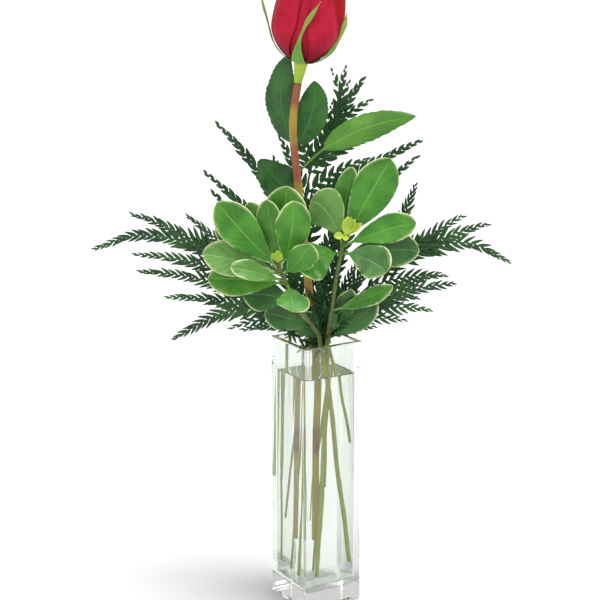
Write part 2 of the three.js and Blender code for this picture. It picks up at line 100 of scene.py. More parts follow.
class Value:
    """A value in a node tree. Arithmetic on it adds Math nodes."""

    def __init__(self, nodes: "NodeSet", socket: bpy.types.NodeSocket) -> None:
        """Wrap one output socket.

        Args:
            nodes: The tree that the socket belongs to.
            socket: The output socket.
        """
        self.nodes = nodes
        self.socket = socket

    def math(self, operation: str, *others: "Value | float") -> "Value":
        """Add a Math node whose first value is this one.

        Args:
            operation: The Math node's operation.
            others: Its further values.

        Returns:
            The node's result.
        """
        return self.nodes.math(operation, self, *others)

    def __add__(self, other: "Value | float") -> "Value":
        """Add."""
        return self.math("ADD", other)

    __radd__ = __add__

    def __mul__(self, other: "Value | float") -> "Value":
        """Multiply."""
        return self.math("MULTIPLY", other)

    __rmul__ = __mul__

    def __sub__(self, other: "Value | float") -> "Value":
        """Subtract."""
        return self.math("SUBTRACT", other)

    def __rsub__(self, other: "Value | float") -> "Value":
        """Subtract this from a number."""
        return self.nodes.math("SUBTRACT", other, self)

    def __truediv__(self, other: "Value | float") -> "Value":
        """Divide."""
        return self.math("DIVIDE", other)

    def __pow__(self, other: "Value | float") -> "Value":
        """Raise to a power."""
        return self.math("POWER", other)

    def step(self, low: float, high: float) -> "Value":
        """Rise smoothly from 0 at low to 1 at high.

        Args:
            low: Where the rise starts.
            high: Where it ends.

        Returns:
            The risen value.
        """
        made = self.nodes.add(
            "ShaderNodeMapRange",
            {"interpolation_type": "SMOOTHSTEP"},
            {"Value": self, "From Min": low, "From Max": high},
        )
        return made[0]


class Made:
    """A node that has been added, whose outputs are read by name or number."""

    def __init__(self, nodes: "NodeSet", node: bpy.types.Node) -> None:
        """Keep the node.

        Args:
            nodes: The tree that it is in.
            node: The node.
        """
        self.nodes = nodes
        self.node = node

    def __getitem__(self, key: str | int) -> Value:
        """Give one output."""
        return Value(self.nodes, self.node.outputs[key])


class NodeSet:
    """Adds nodes to a shader or geometry tree."""

    def __init__(self, tree: bpy.types.NodeTree) -> None:
        """Start on an empty tree.

        Args:
            tree: The tree to fill.
        """
        self.tree = tree
        tree.nodes.clear()

    def add(self, kind: str, settings: dict | None = None, inputs: dict | None = None) -> Made:
        """Add one node.

        Args:
            kind: The node's type name.
            settings: Properties of the node, set before its sockets.
            inputs: Values or links of its sockets, by name or number.

        Returns:
            The node made.
        """
        node = self.tree.nodes.new(kind)
        for name, setting in (settings or {}).items():
            setattr(node, name, setting)
        for key, value in (inputs or {}).items():
            if isinstance(value, Value):
                self.tree.links.new(value.socket, node.inputs[key])
            else:
                node.inputs[key].default_value = value
        return Made(self, node)

    def math(self, operation: str, *values: Value | float) -> Value:
        """Add a Math node.

        Args:
            operation: Its operation.
            values: Its values, in order.

        Returns:
            Its result.
        """
        return self.add("ShaderNodeMath", {"operation": operation}, dict(enumerate(values)))[0]

    def vector(self, operation: str, *values: Value | Triple) -> Value:
        """Add a Vector Math node.

        Args:
            operation: Its operation.
            values: Its vectors, in order.

        Returns:
            Its vector.
        """
        return self.add("ShaderNodeVectorMath", {"operation": operation}, dict(enumerate(values)))[0]

    def scaled(self, vector: Value, amount: Value | float) -> Value:
        """Scale a vector by a number.

        Args:
            vector: The vector.
            amount: The number.

        Returns:
            The scaled vector.
        """
        inputs = {0: vector, "Scale": amount}
        return self.add("ShaderNodeVectorMath", {"operation": "SCALE"}, inputs)[0]

    def mix(self, factor: Value | float, first: Value | Colour, second: Value | Colour) -> Value:
        """Mix two colours.

        Args:
            factor: 0 for the first and 1 for the second.
            first: One colour.
            second: The other.

        Returns:
            The mixed colour.
        """
        inputs = {0: factor, 6: self.opaque(first), 7: self.opaque(second)}
        return self.add("ShaderNodeMix", {"data_type": "RGBA"}, inputs)[2]

    @staticmethod
    def opaque(colour: Value | Colour) -> Value | tuple:
        """Give a plain colour its alpha."""
        return colour if isinstance(colour, Value) else (*colour, 1.0)

    def noise(self, vector: Value, scale: float, detail: float = 3.0) -> Value:
        """Add a noise texture.

        Args:
            vector: Where it is read.
            scale: Its scale.
            detail: Its octaves.

        Returns:
            The noise, about 0.5 on average.
        """
        inputs = {"Vector": vector, "Scale": scale, "Detail": detail}
        return self.add("ShaderNodeTexNoise", None, inputs)["Fac"]

    def stretched(self, vector: Value, scale: Triple) -> Value:
        """Scale coordinates by a different amount each way.

        Args:
            vector: The coordinates.
            scale: The amounts.

        Returns:
            The scaled coordinates.
        """
        return self.add("ShaderNodeMapping", None, {"Vector": vector, "Scale": scale})[0]

    def attribute(self, name: str) -> Value:
        """Read a number stored on the mesh."""
        return self.add("ShaderNodeAttribute", {"attribute_name": name})["Fac"]


# ---------------------------------------------------------------- finishes


@dataclass(frozen=True)
class Finish:
    """A surface finish. Its material is made once and then shared."""

    name: str

    def material(self) -> bpy.types.Material:
        """Make the material, or give the one made before.

        Returns:
            The material.
        """
        found = bpy.data.materials.get(self.name)
        if found is not None:
            return found
        made = bpy.data.materials.new(self.name)
        made.use_nodes = True
        nodes = NodeSet(made.node_tree)
        shader = nodes.add("ShaderNodeBsdfPrincipled", None, self.constants())
        for socket, value in self.surface(nodes).items():
            nodes.tree.links.new(value.socket, shader.node.inputs[socket])
        nodes.add("ShaderNodeOutputMaterial", None, {"Surface": shader[0]})
        return made

    def constants(self) -> dict:
        """Give the shader's plain values."""
        return {}

    def surface(self, nodes: NodeSet) -> dict:
        """Give what varies over the surface.

        Args:
            nodes: The material's nodes.

        Returns:
            Links by the shader's socket name.
        """
        raise NotImplementedError

    def bumped(self, nodes: NodeSet, height: Value, strength: float, depth: float) -> Value:
        """Turn a height into a normal.

        Args:
            nodes: The material's nodes.
            height: The height, from 0 to 1.
            strength: How much of it shows.
            depth: What 1 stands for, in metres.

        Returns:
            The normal.
        """
        inputs = {"Height": height, "Strength": strength, "Distance": depth}
        return nodes.add("ShaderNodeBump", None, inputs)["Normal"]

    def place(self, nodes: NodeSet) -> Value:
        """Give the object's own coordinates, in metres."""
        return nodes.add("ShaderNodeTexCoord")["Object"]

    def across_and_along(self, nodes: NodeSet) -> tuple[Value, Value, Value]:
        """Read the piece's UV map.

        Args:
            nodes: The material's nodes.

        Returns:
            The coordinates, then from -1 to 1 across, then from 0 to 1 along.
        """
        uv = nodes.add("ShaderNodeTexCoord")["UV"]
        split = nodes.add("ShaderNodeSeparateXYZ", None, {0: uv})
        return uv, split["X"] * 2.0 - 1.0, split["Y"]


@dataclass(frozen=True)
class ClearGlass(Finish):
    """Clear pressed glass with a faint green cast."""

    tint: Colour = (0.885, 0.91, 0.888)
    ior: float = 1.5

    def constants(self) -> dict:
        """Give the shader's plain values.

        Returns:
            Values by the shader's socket name.
        """
        return {
            "Transmission Weight": 1.0,
            "IOR": self.ior,
            "Base Color": (*self.tint, 1.0),
            "Roughness": 0.0,
        }

    def surface(self, nodes: NodeSet) -> dict:
        """Wave the surface a little, as pressed glass does."""
        waves = nodes.noise(nodes.stretched(self.place(nodes), (1.0, 1.0, 0.35)), 45.0, 1.0)
        return {"Normal": self.bumped(nodes, waves, 0.25, 0.0005)}


@dataclass(frozen=True)
class StillWater(Finish):
    """Clear water."""

    tint: Colour = (0.985, 0.992, 0.98)
    ior: float = 1.333

    def constants(self) -> dict:
        """Give the shader's plain values.

        Returns:
            Values by the shader's socket name.
        """
        return {
            "Transmission Weight": 1.0,
            "IOR": self.ior,
            "Base Color": (*self.tint, 1.0),
            "Roughness": 0.0,
        }

    def surface(self, nodes: NodeSet) -> dict:
        """Ripple the surface faintly."""
        waves = nodes.noise(self.place(nodes), 60.0, 1.0)
        return {"Normal": self.bumped(nodes, waves, 0.08, 0.0003)}


@dataclass(frozen=True)
class PetalSkin(Finish):
    """A velvety crimson petal, with pinker patches that are partly its own tone and partly painted highlight
    where it would catch the light, and painted shade darkening its base.
    """

    body: Colour = (0.40, 0.007, 0.022)
    # partly the petal's own uneven tone, partly painted highlight: a pinker red standing in for where the
    # petal catches the light
    blush_and_highlight: Colour = (0.48, 0.018, 0.050)
    # painted shade: the dark red laid over the lower part of the petal, where it curves in above the hip
    base: Colour = (0.12, 0.005, 0.014)
    edge: Colour = (0.36, 0.006, 0.02)

    def constants(self) -> dict:
        """Give the shader's plain values.

        Returns:
            Values by the shader's socket name.
        """
        return {
            "Sheen Weight": 0.06,
            "Sheen Roughness": 0.4,
            "Sheen Tint": (1.0, 0.72, 0.82, 1.0),
            "Specular IOR Level": 0.07,
            "Subsurface Weight": 0.06,
            "Subsurface Radius": (0.004, 0.001, 0.001),
            "Subsurface Scale": 0.5,
        }

    def surface(self, nodes: NodeSet) -> dict:
        """Blend the petal's colours, laying pinker patches that are partly painted highlight and painted
        shade towards its base, and raise its fine veins.

        Args:
            nodes: The material's nodes.

        Returns:
            Links by the shader's socket name.
        """
        uv, across, along = self.across_and_along(nodes)
        streaks = nodes.noise(nodes.stretched(uv, (26.0, 1.6, 1.0)), 3.0, 4.0)
        mottle = nodes.noise(self.place(nodes), 90.0, 2.0)
        # pinker patches along the streaks: partly the petal's own tone, partly painted highlight
        colour = nodes.mix((streaks * 0.6 + mottle * 0.5).step(0.35, 0.75), self.body, self.blush_and_highlight)
        # painted shade: darkens the petal towards its base
        low = 1.0 - along.step(0.02, 0.36)
        colour = nodes.mix(low * 0.85, colour, self.base)
        rim = across.math("ABSOLUTE").step(0.9, 1.0) * 0.5 + along.step(0.93, 1.0) * 0.5
        colour = nodes.mix(rim, colour, self.edge)
        roughness = 0.46 + mottle * 0.14
        return {
            "Base Color": colour,
            "Roughness": roughness,
            "Normal": self.bumped(nodes, streaks + mottle * 0.4, 0.35, 0.0004),
        }


@dataclass(frozen=True)
class RoseStemSkin(Finish):
    """A rose's stem: yellow-green under the flower, then olive flushed with red."""

    neck: Colour = (0.27, 0.45, 0.02)
    flush: Colour = (0.30, 0.085, 0.04)
    olive: Colour = (0.38, 0.27, 0.035)
    # partly the stem's own paler colour under the water, partly painted light: brightened to stand in for
    # light that the glass and water hold back
    wet_painted_light: Colour = (0.64, 0.58, 0.06)

    def constants(self) -> dict:
        """Give the shader's plain values."""
        return {"Specular IOR Level": 0.4}

    def surface(self, nodes: NodeSet) -> dict:
        """Band the stem by its height, brighter under the water as painted light, and flush one side of it
        with red.

        Args:
            nodes: The material's nodes.

        Returns:
            Links by the shader's socket name.
        """
        place = self.place(nodes)
        split = nodes.add("ShaderNodeSeparateXYZ", None, {0: place})
        height = split["Z"] + nodes.noise(place, 60.0, 2.0) * 0.012 - 0.006
        fibres = nodes.noise(nodes.stretched(place, (6.0, 6.0, 0.6)), 180.0, 3.0)
        # painted light: the brightened colour below the waterline stands in for light that the glass and
        # water hold back
        colour = nodes.mix(height.step(0.15, 0.22), self.wet_painted_light, self.olive)
        low_flush = height.step(0.310, 0.325) * (1.0 - height.step(0.342, 0.352))
        high_flush = height.step(0.370, 0.378) * (1.0 - height.step(0.390, 0.396))
        wet_flush = height.step(0.110, 0.122) * (1.0 - height.step(0.130, 0.150)) * 0.7
        side = nodes.noise(nodes.stretched(place, (1.0, 1.0, 0.2)), 130.0, 1.0).step(0.42, 0.6)
        bands = low_flush.math("MAXIMUM", high_flush).math("MAXIMUM", wet_flush)
        red = bands.math("MAXIMUM", side * 0.45 * height.step(0.2, 0.24))
        colour = nodes.mix(red, colour, self.flush)
        colour = nodes.mix(height.step(0.389, 0.396), colour, self.neck)
        colour = nodes.mix(fibres.step(0.5, 0.8) * 0.25, colour, (0.42, 0.44, 0.12))
        return {
            "Base Color": colour,
            "Roughness": 0.42 + fibres * 0.2,
            "Normal": self.bumped(nodes, fibres, 0.4, 0.0004),
        }


@dataclass(frozen=True)
class SepalSkin(Finish):
    """The light green of the hip and sepals."""

    fresh: Colour = (0.055, 0.27, 0.010)
    pale: Colour = (0.20, 0.38, 0.05)
    tip: Colour = (0.27, 0.33, 0.06)

    def constants(self) -> dict:
        """Give the shader's plain values."""
        return {"Sheen Weight": 0.2, "Sheen Roughness": 0.5, "Specular IOR Level": 0.35}

    def surface(self, nodes: NodeSet) -> dict:
        """Mottle the green and lighten its edges.

        Args:
            nodes: The material's nodes.

        Returns:
            Links by the shader's socket name.
        """
        uv, across, along = self.across_and_along(nodes)
        mottle = nodes.noise(self.place(nodes), 150.0, 3.0)
        streaks = nodes.noise(nodes.stretched(uv, (9.0, 1.2, 1.0)), 3.0, 3.0)
        colour = nodes.mix((mottle * 0.5 + streaks * 0.5).step(0.38, 0.68), self.fresh, self.pale)
        colour = nodes.mix(across.math("ABSOLUTE").step(0.55, 1.0) * 0.45, colour, self.pale)
        colour = nodes.mix(along.step(0.25, 0.65) * 0.75, colour, self.tip)
        return {
            "Base Color": colour,
            "Roughness": 0.5 + mottle * 0.15,
            "Normal": self.bumped(nodes, streaks, 0.5, 0.0004),
        }


@dataclass(frozen=True)
class LeafSkin(Finish):
    """A satin leaf with a pale midrib and side veins, and a cream margin where it is variegated."""

    green: Colour = (0.045, 0.16, 0.035)
    light: Colour = (0.085, 0.25, 0.05)
    vein: Colour = (0.16, 0.32, 0.08)
    cream: Colour = (0.58, 0.66, 0.34)
    margin: float = 0.0  # usual width of the cream margin, in metres
    side_veins: float = 9.0
    gloss: float = 0.36

    def constants(self) -> dict:
        """Give the shader's plain values."""
        return {"Specular IOR Level": 0.4}

    def surface(self, nodes: NodeSet) -> dict:
        """Lay veins along the leaf, patch its green and cut the cream margin into it in teeth.

        Args:
            nodes: The material's nodes.

        Returns:
            Links by the shader's socket name.
        """
        _, across, along = self.across_and_along(nodes)
        place = self.place(nodes)
        side = across.math("ABSOLUTE")
        patches = nodes.noise(place, 55.0, 3.0)
        fine = nodes.noise(place, 600.0, 2.0)
        wander = nodes.noise(place, 120.0, 2.0) * 0.5
        comb = ((along - side * 0.32) * self.side_veins + wander).math("FRACT") - 0.5
        ribs = 1.0 - comb.math("ABSOLUTE").step(0.0, 0.16)
        midrib = 1.0 - side.step(0.015, 0.06)
        colour = nodes.mix(patches.step(0.35, 0.68), self.green, self.light)
        colour = nodes.mix(ribs * 0.14, colour, self.vein)
        if self.margin:
            edge = nodes.attribute("edge")
            teeth = nodes.noise(place, 330.0, 2.0)
            broad = nodes.noise(place, 42.0, 1.0)
            tip = along.step(0.55, 0.95)
            reach = (broad * 4.4 - 2.1 + tip * 1.7) * self.margin + (teeth - 0.48) * self.margin * 3.0
            grey = (reach * 2.4 - edge).step(-0.0006, 0.0006)
            cream = (reach - edge).step(-0.00015, 0.00025)
            colour = nodes.mix(grey * 0.4, colour, nodes.mix(0.5, self.light, self.cream))
            colour = nodes.mix(cream, colour, self.cream)
        colour = nodes.mix(midrib * 0.75, colour, self.vein)
        height = ribs * -0.5 - midrib + fine * 0.25
        return {
            "Base Color": colour,
            "Roughness": self.gloss + fine * 0.12 + ribs * 0.05,
            "Normal": self.bumped(nodes, height, 0.4, 0.0005),
        }


@dataclass(frozen=True)
class BarkSkin(Finish):
    """A thin woody stem: olive brown above the water and paler green in it, partly its own colour and partly
    painted light that stands in for light the glass and water hold back.
    """

    bark: Colour = (0.065, 0.06, 0.022)
    young: Colour = (0.11, 0.17, 0.03)
    # partly the stem's own paler colour under the water, partly painted light: brightened to stand in for
    # light that the glass and water hold back
    wet_painted_light: Colour = (0.66, 0.71, 0.08)

    def surface(self, nodes: NodeSet) -> dict:
        """Streak the bark along the stem and change its colour at the water, to a brighter colour below it
        that is partly painted light.

        Args:
            nodes: The material's nodes.

        Returns:
            Links by the shader's socket name.
        """
        place = self.place(nodes)
        height = nodes.add("ShaderNodeSeparateXYZ", None, {0: place})["Z"]
        streaks = nodes.noise(nodes.stretched(place, (5.0, 5.0, 0.7)), 220.0, 4.0)
        dry = nodes.mix(streaks.step(0.4, 0.65), self.young, self.bark)
        # painted light: the brightened colour under the water stands in for light that the glass and water
        # hold back
        damp_painted_light = nodes.mix(streaks.step(0.45, 0.85) * 0.4, self.wet_painted_light, self.young)
        return {
            "Base Color": nodes.mix(height.step(0.17, 0.21), damp_painted_light, dry),
            "Roughness": 0.5 + streaks * 0.25,
            "Normal": self.bumped(nodes, streaks, 0.6, 0.0005),
        }


@dataclass(frozen=True)
class FrondSkin(Finish):
    """The dark green of a leatherleaf frond."""

    deep: Colour = (0.007, 0.045, 0.009)
    bright: Colour = (0.026, 0.115, 0.017)

    def constants(self) -> dict:
        """Give the shader's plain values."""
        return {"Specular IOR Level": 0.4}

    def surface(self, nodes: NodeSet) -> dict:
        """Vary the green from leaflet to leaflet and within each.

        Args:
            nodes: The material's nodes.

        Returns:
            Links by the shader's socket name.
        """
        place = self.place(nodes)
        broad = nodes.noise(place, 38.0, 2.0)
        fine = nodes.noise(place, 420.0, 3.0)
        mask = (broad * 0.75 + fine * 0.35).step(0.4, 0.75)
        return {
            "Base Color": nodes.mix(mask, self.deep, self.bright),
            "Roughness": 0.4 + fine * 0.2,
            "Normal": self.bumped(nodes, fine, 0.4, 0.0004),
        }


@dataclass(frozen=True)
class PaleFloor(Finish):
    """A plain white studio floor."""

    def surface(self, nodes: NodeSet) -> dict:
        """Keep the white almost even.

        Args:
            nodes: The material's nodes.

        Returns:
            Links by the shader's socket name.
        """
        grain = nodes.noise(self.place(nodes), 8.0, 2.0)
        return {
            "Base Color": nodes.mix(grain, (0.78, 0.78, 0.78), (0.80, 0.80, 0.80)),
            "Roughness": 0.7 + grain * 0.1,
        }


GLASS = ClearGlass("clear_glass")
WATER = StillWater("still_water")
PETAL = PetalSkin("crimson_petal")
# painted shade: a darker copy of the petal finish for the petals that sit back in the bud
SHADED_PETAL = PetalSkin("deep_red_petal", body=(0.30, 0.001, 0.003), blush_and_highlight=(0.35, 0.002, 0.006))
ROSE_STEM = RoseStemSkin("rose_stem_skin")
SEPAL = SepalSkin("sepal_green")
HIP = SepalSkin("hip_green", fresh=(0.27, 0.44, 0.02), pale=(0.40, 0.56, 0.06), tip=(0.38, 0.52, 0.04))
ROSE_LEAF = LeafSkin(
    "rose_leaf_dark",
    green=(0.010, 0.075, 0.008),
    light=(0.026, 0.135, 0.012),
    vein=(0.06, 0.20, 0.05),
    side_veins=8.0,
)
ROSE_LEAF_LIGHT = LeafSkin(
    "rose_leaf_light",
    green=(0.060, 0.21, 0.016),
    light=(0.11, 0.29, 0.035),
    vein=(0.19, 0.38, 0.07),
    side_veins=10.0,
)
SPRIG_LEAF = LeafSkin(
    "pittosporum_leaf",
    green=(0.034, 0.175, 0.008),
    light=(0.075, 0.275, 0.020),
    vein=(0.16, 0.38, 0.05),
    margin=0.0005,
    gloss=0.38,
)
# painted shade: a darker copy of the pittosporum leaf finish for leaves that sit in shade
SPRIG_LEAF_PAINTED_SHADE = LeafSkin(
    "pittosporum_leaf_shaded",
    green=(0.018, 0.085, 0.014),
    light=(0.045, 0.16, 0.028),
    vein=(0.08, 0.22, 0.05),
    margin=0.0004,
    gloss=0.38,
)
# painted light: a paler copy of the pittosporum leaf finish for leaves that catch the light
SPRIG_LEAF_PAINTED_LIGHT = LeafSkin(
    "pittosporum_leaf_pale",
    green=(0.075, 0.22, 0.030),
    light=(0.14, 0.32, 0.065),
    vein=(0.22, 0.42, 0.12),
    margin=0.0005,
    gloss=0.34,
)
# painted shade: a greyer, darker copy of the pittosporum leaf finish for a leaf in shade
SPRIG_LEAF_SHADE = LeafSkin(
    "pittosporum_leaf_back",
    green=(0.034, 0.120, 0.020),
    light=(0.070, 0.20, 0.042),
    vein=(0.12, 0.25, 0.09),
    margin=0.0006,
    gloss=0.42,
)
YOUNG_LEAF = LeafSkin(
    "young_leaf",
    green=(0.30, 0.46, 0.035),
    light=(0.50, 0.64, 0.06),
    vein=(0.60, 0.70, 0.16),
    side_veins=5.0,
)
BARK = BarkSkin("sprig_bark")
FROND = FrondSkin("frond_green")
# the frond stalk's colour under the water is brightened in the same way, as painted light
RACHIS = BarkSkin("frond_stalk", bark=(0.02, 0.07, 0.015), young=(0.035, 0.10, 0.02), wet_painted_light=(0.64, 0.72, 0.08))
FLOOR = PaleFloor("white_floor")


# ---------------------------------------------------------------- shapes


def smooth(value: Array | float, low: float, high: float) -> Array:
    """Rise smoothly from 0 at low to 1 at high.

    Args:
        value: What is measured.
        low: Where the rise starts.
        high: Where it ends.

    Returns:
        The risen value.
    """
    t = np.clip((np.asarray(value, dtype=float) - low) / (high - low), 0.0, 1.0)
    return t * t * (3.0 - 2.0 * t)


def unit(vectors: Array) -> Array:
    """Scale vectors to length 1."""
    return vectors / np.maximum(np.linalg.norm(vectors, axis=-1, keepdims=True), 1e-9)


def to_row(points: Array) -> Array:
    """Turn points of the arrangement's frame, in millimetres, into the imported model's, in metres.

    Args:
        points: The points, with x, y and z last.

    Returns:
        The turned points.
    """
    c, s = math.cos(FRONT_TURN), math.sin(FRONT_TURN)
    turn = np.array([[c, -s, 0.0], [s, c, 0.0], [0.0, 0.0, 1.0]])
    return np.asarray(points, dtype=float) @ turn.T * MM


class Spline:
    """A centripetal Catmull-Rom curve through points, read from 0 to 1 over its stretches."""

    def __init__(self, points: Sequence[Sequence[float]]) -> None:
        """Keep the points and one more beyond each end.

        Args:
            points: The points that the curve goes through.
        """
        given = np.array(points, dtype=float)
        first = 2.0 * given[0] - given[1]
        last = 2.0 * given[-1] - given[-2]
        self.points = np.vstack([first, given, last])
        self.stretches = len(given) - 1

    def at(self, t: float) -> Array:
        """Give the point at a share of the curve.

        Args:
            t: The share, from 0 to 1.

        Returns:
            The point.
        """
        place = min(max(t, 0.0), 1.0) * self.stretches
        index = min(int(place), self.stretches - 1)
        local = place - index
        p = self.points[index : index + 4]
        gaps = np.maximum(np.linalg.norm(np.diff(p, axis=0), axis=1) ** 0.5, 1e-4)
        first = (p[1] - p[0]) / gaps[0] - (p[2] - p[0]) / (gaps[0] + gaps[1]) + (p[2] - p[1]) / gaps[1]
        last = (p[2] - p[1]) / gaps[1] - (p[3] - p[1]) / (gaps[1] + gaps[2]) + (p[3] - p[2]) / gaps[2]
        first, last = first * gaps[1], last * gaps[1]
        c2 = -3.0 * p[1] + 3.0 * p[2] - 2.0 * first - last
        c3 = 2.0 * p[1] - 2.0 * p[2] + first + last
        return p[1] + first * local + c2 * local**2 + c3 * local**3

    def samples(self, count: int, start: float = 0.0) -> Array:
        """Give points along the curve.

        Args:
            count: How many.
            start: The share where they start.

        Returns:
            The points, one to a row.
        """
        return np.array([self.at(t) for t in np.linspace(start, 1.0, count)])


def new_mesh(
    name: str, points: Array, faces: Sequence, uvs: Array, edge: Array | None = None
) -> bpy.types.Mesh:
    """Make a smooth mesh with a UV map.

    Args:
        name: The mesh's name.
        points: Its vertices, in metres.
        faces: Its faces, as vertex numbers.
        uvs: One UV pair for each vertex.
        edge: The distance to the margin for each vertex, if it is stored.

    Returns:
        The mesh.
    """
    mesh = bpy.data.meshes.new(name)
    mesh.from_pydata(np.asarray(points).tolist(), [], [list(map(int, face)) for face in faces])
    layer = mesh.uv_layers.new(name="UVMap")
    corners = np.empty(len(mesh.loops), dtype=np.int32)
    mesh.loops.foreach_get("vertex_index", corners)
    layer.data.foreach_set("uv", np.asarray(uvs, dtype=np.float32)[corners].ravel())
    if edge is not None:
        stored = mesh.attributes.new("edge", "FLOAT", "POINT")
        stored.data.foreach_set("value", np.asarray(edge, dtype=np.float32).ravel())
    mesh.polygons.foreach_set("use_smooth", np.ones(len(mesh.polygons), dtype=bool))
    mesh.update()
    return mesh


def sheet(
    name: str,
    point: Callable[[Array, Array], Array],
    thickness: float,
    columns: int,
    rows: int,
    half_width: Callable[[Array], Array] | None = None,
) -> bpy.types.Mesh:
    """Make a thin closed sheet round a surface, thinner at its margin.

    Args:
        name: The mesh's name.
        point: The surface in the arrangement's frame, from u (-1 to 1 across) and v (0 to 1 along).
        thickness: Its thickness, in millimetres.
        columns: Its strips across.
        rows: Its strips along.
        half_width: The half width at v, in millimetres, which the margin's distance is stored from.

    Returns:
        The mesh.
    """
    u, v = np.meshgrid(np.linspace(-1.0, 1.0, columns + 1), np.linspace(0.0, 1.0, rows + 1))
    middle = point(u, v)
    out = unit(np.cross(np.gradient(middle, axis=1), np.gradient(middle, axis=0)))
    margin = np.maximum(np.abs(u) ** 6, np.maximum(0.0, 2.0 * v - 1.0) ** 8)
    half = (0.5 * thickness * (1.0 - 0.7 * margin))[..., None]
    points = np.concatenate([(middle + out * half).reshape(-1, 3), (middle - out * half).reshape(-1, 3)])
    layer = u.size
    at = np.arange(layer).reshape(u.shape)
    top = np.stack([at[:-1, :-1], at[:-1, 1:], at[1:, 1:], at[1:, :-1]], axis=-1).reshape(-1, 4)
    loop = np.concatenate([at[0, :-1], at[:-1, -1], at[-1, :0:-1], at[:0:-1, 0]])
    after = np.roll(loop, -1)
    rim = np.stack([loop, loop + layer, after + layer, after], axis=-1)
    faces = np.concatenate([top, top[:, ::-1] + layer, rim])
    uvs = np.stack([u.ravel() * 0.5 + 0.5, v.ravel()], axis=-1)
    edge = None
    if half_width is not None:
        inset = (1.0 - np.abs(u)) * half_width(v) * MM
        edge = np.concatenate([inset.ravel(), inset.ravel()])
    return new_mesh(name, to_row(points), faces, np.concatenate([uvs, uvs]), edge)


def tube(name: str, line: Array, radii: Array, sides: int) -> bpy.types.Mesh:
    """Make a round closed tube along a line.

    Args:
        name: The mesh's name.
        line: Its centre line in the arrangement's frame.
        radii: Its radius at each point of the line.
        sides: How many faces go round it.

    Returns:
        The mesh.
    """
    along = unit(np.gradient(line, axis=0))
    side = unit(np.cross(along[0], [0.31, 0.83, 0.1]))
    angles = np.linspace(0.0, 2.0 * math.pi, sides, endpoint=False)
    rings = []
    for centre, way, radius in zip(line, along, radii):
        side = unit(side - way * np.dot(side, way))
        other = np.cross(way, side)
        rings.append(centre + radius * (np.outer(np.cos(angles), side) + np.outer(np.sin(angles), other)))
    points = np.concatenate(rings)
    count = len(line)
    at = np.arange(count * sides).reshape(count, sides)
    faces = []
    for j in range(count - 1):
        for i in range(sides):
            k = (i + 1) % sides
            faces.append([at[j, i], at[j, k], at[j + 1, k], at[j + 1, i]])
    faces.append(list(at[0, ::-1]))
    faces.append(list(at[-1]))
    share = np.repeat(np.linspace(0.0, 1.0, count), sides)
    uvs = np.stack([np.tile(np.arange(sides) / sides, count), share], axis=-1)
    return new_mesh(name, to_row(points), faces, uvs)


def joined(name: str, meshes: Sequence[bpy.types.Mesh]) -> bpy.types.Mesh:
    """Join meshes that share one material.

    Args:
        name: The new mesh's name.
        meshes: The meshes, which are removed.

    Returns:
        The joined mesh.
    """
    points, faces, uvs, edges = [], [], [], []
    start = 0
    for mesh in meshes:
        where = np.empty(len(mesh.vertices) * 3, dtype=np.float32)
        mesh.vertices.foreach_get("co", where)
        points.append(where.reshape(-1, 3))
        faces.extend([[start + v for v in polygon.vertices] for polygon in mesh.polygons])
        flat = np.zeros((len(mesh.vertices), 2), dtype=np.float32)
        layer = mesh.uv_layers[0].data
        for loop, corner in zip(mesh.loops, layer):
            flat[loop.vertex_index] = corner.uv
        uvs.append(flat)
        stored = mesh.attributes.get("edge")
        edge = np.full(len(mesh.vertices), 0.01, dtype=np.float32)
        if stored is not None:
            stored.data.foreach_get("value", edge)
        edges.append(edge)
        start += len(mesh.vertices)
        bpy.data.meshes.remove(mesh)
    return new_mesh(name, np.concatenate(points), faces, np.concatenate(uvs), np.concatenate(edges))


def piece(
    name: str,
    mesh: bpy.types.Mesh,
    body: Body,
    slot: str,
    finish: Finish | None,
    replaces: Sequence[str] = (),
) -> bpy.types.Object:
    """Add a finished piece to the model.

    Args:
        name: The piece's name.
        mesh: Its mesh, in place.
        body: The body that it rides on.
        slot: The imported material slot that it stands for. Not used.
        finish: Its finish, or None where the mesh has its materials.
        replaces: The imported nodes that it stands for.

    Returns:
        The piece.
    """
    made = bpy.data.objects.new(name, mesh)
    bpy.context.scene.collection.objects.link(made)
    if finish is not None:
        mesh.materials.clear()
        mesh.materials.append(finish.material())
    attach(made, body.value)
    if replaces:
        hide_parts(*replaces)
    log.info("%s rides on %s, %d faces", name, body.value, len(mesh.polygons))
    return made


# ---------------------------------------------------------------- vase and water


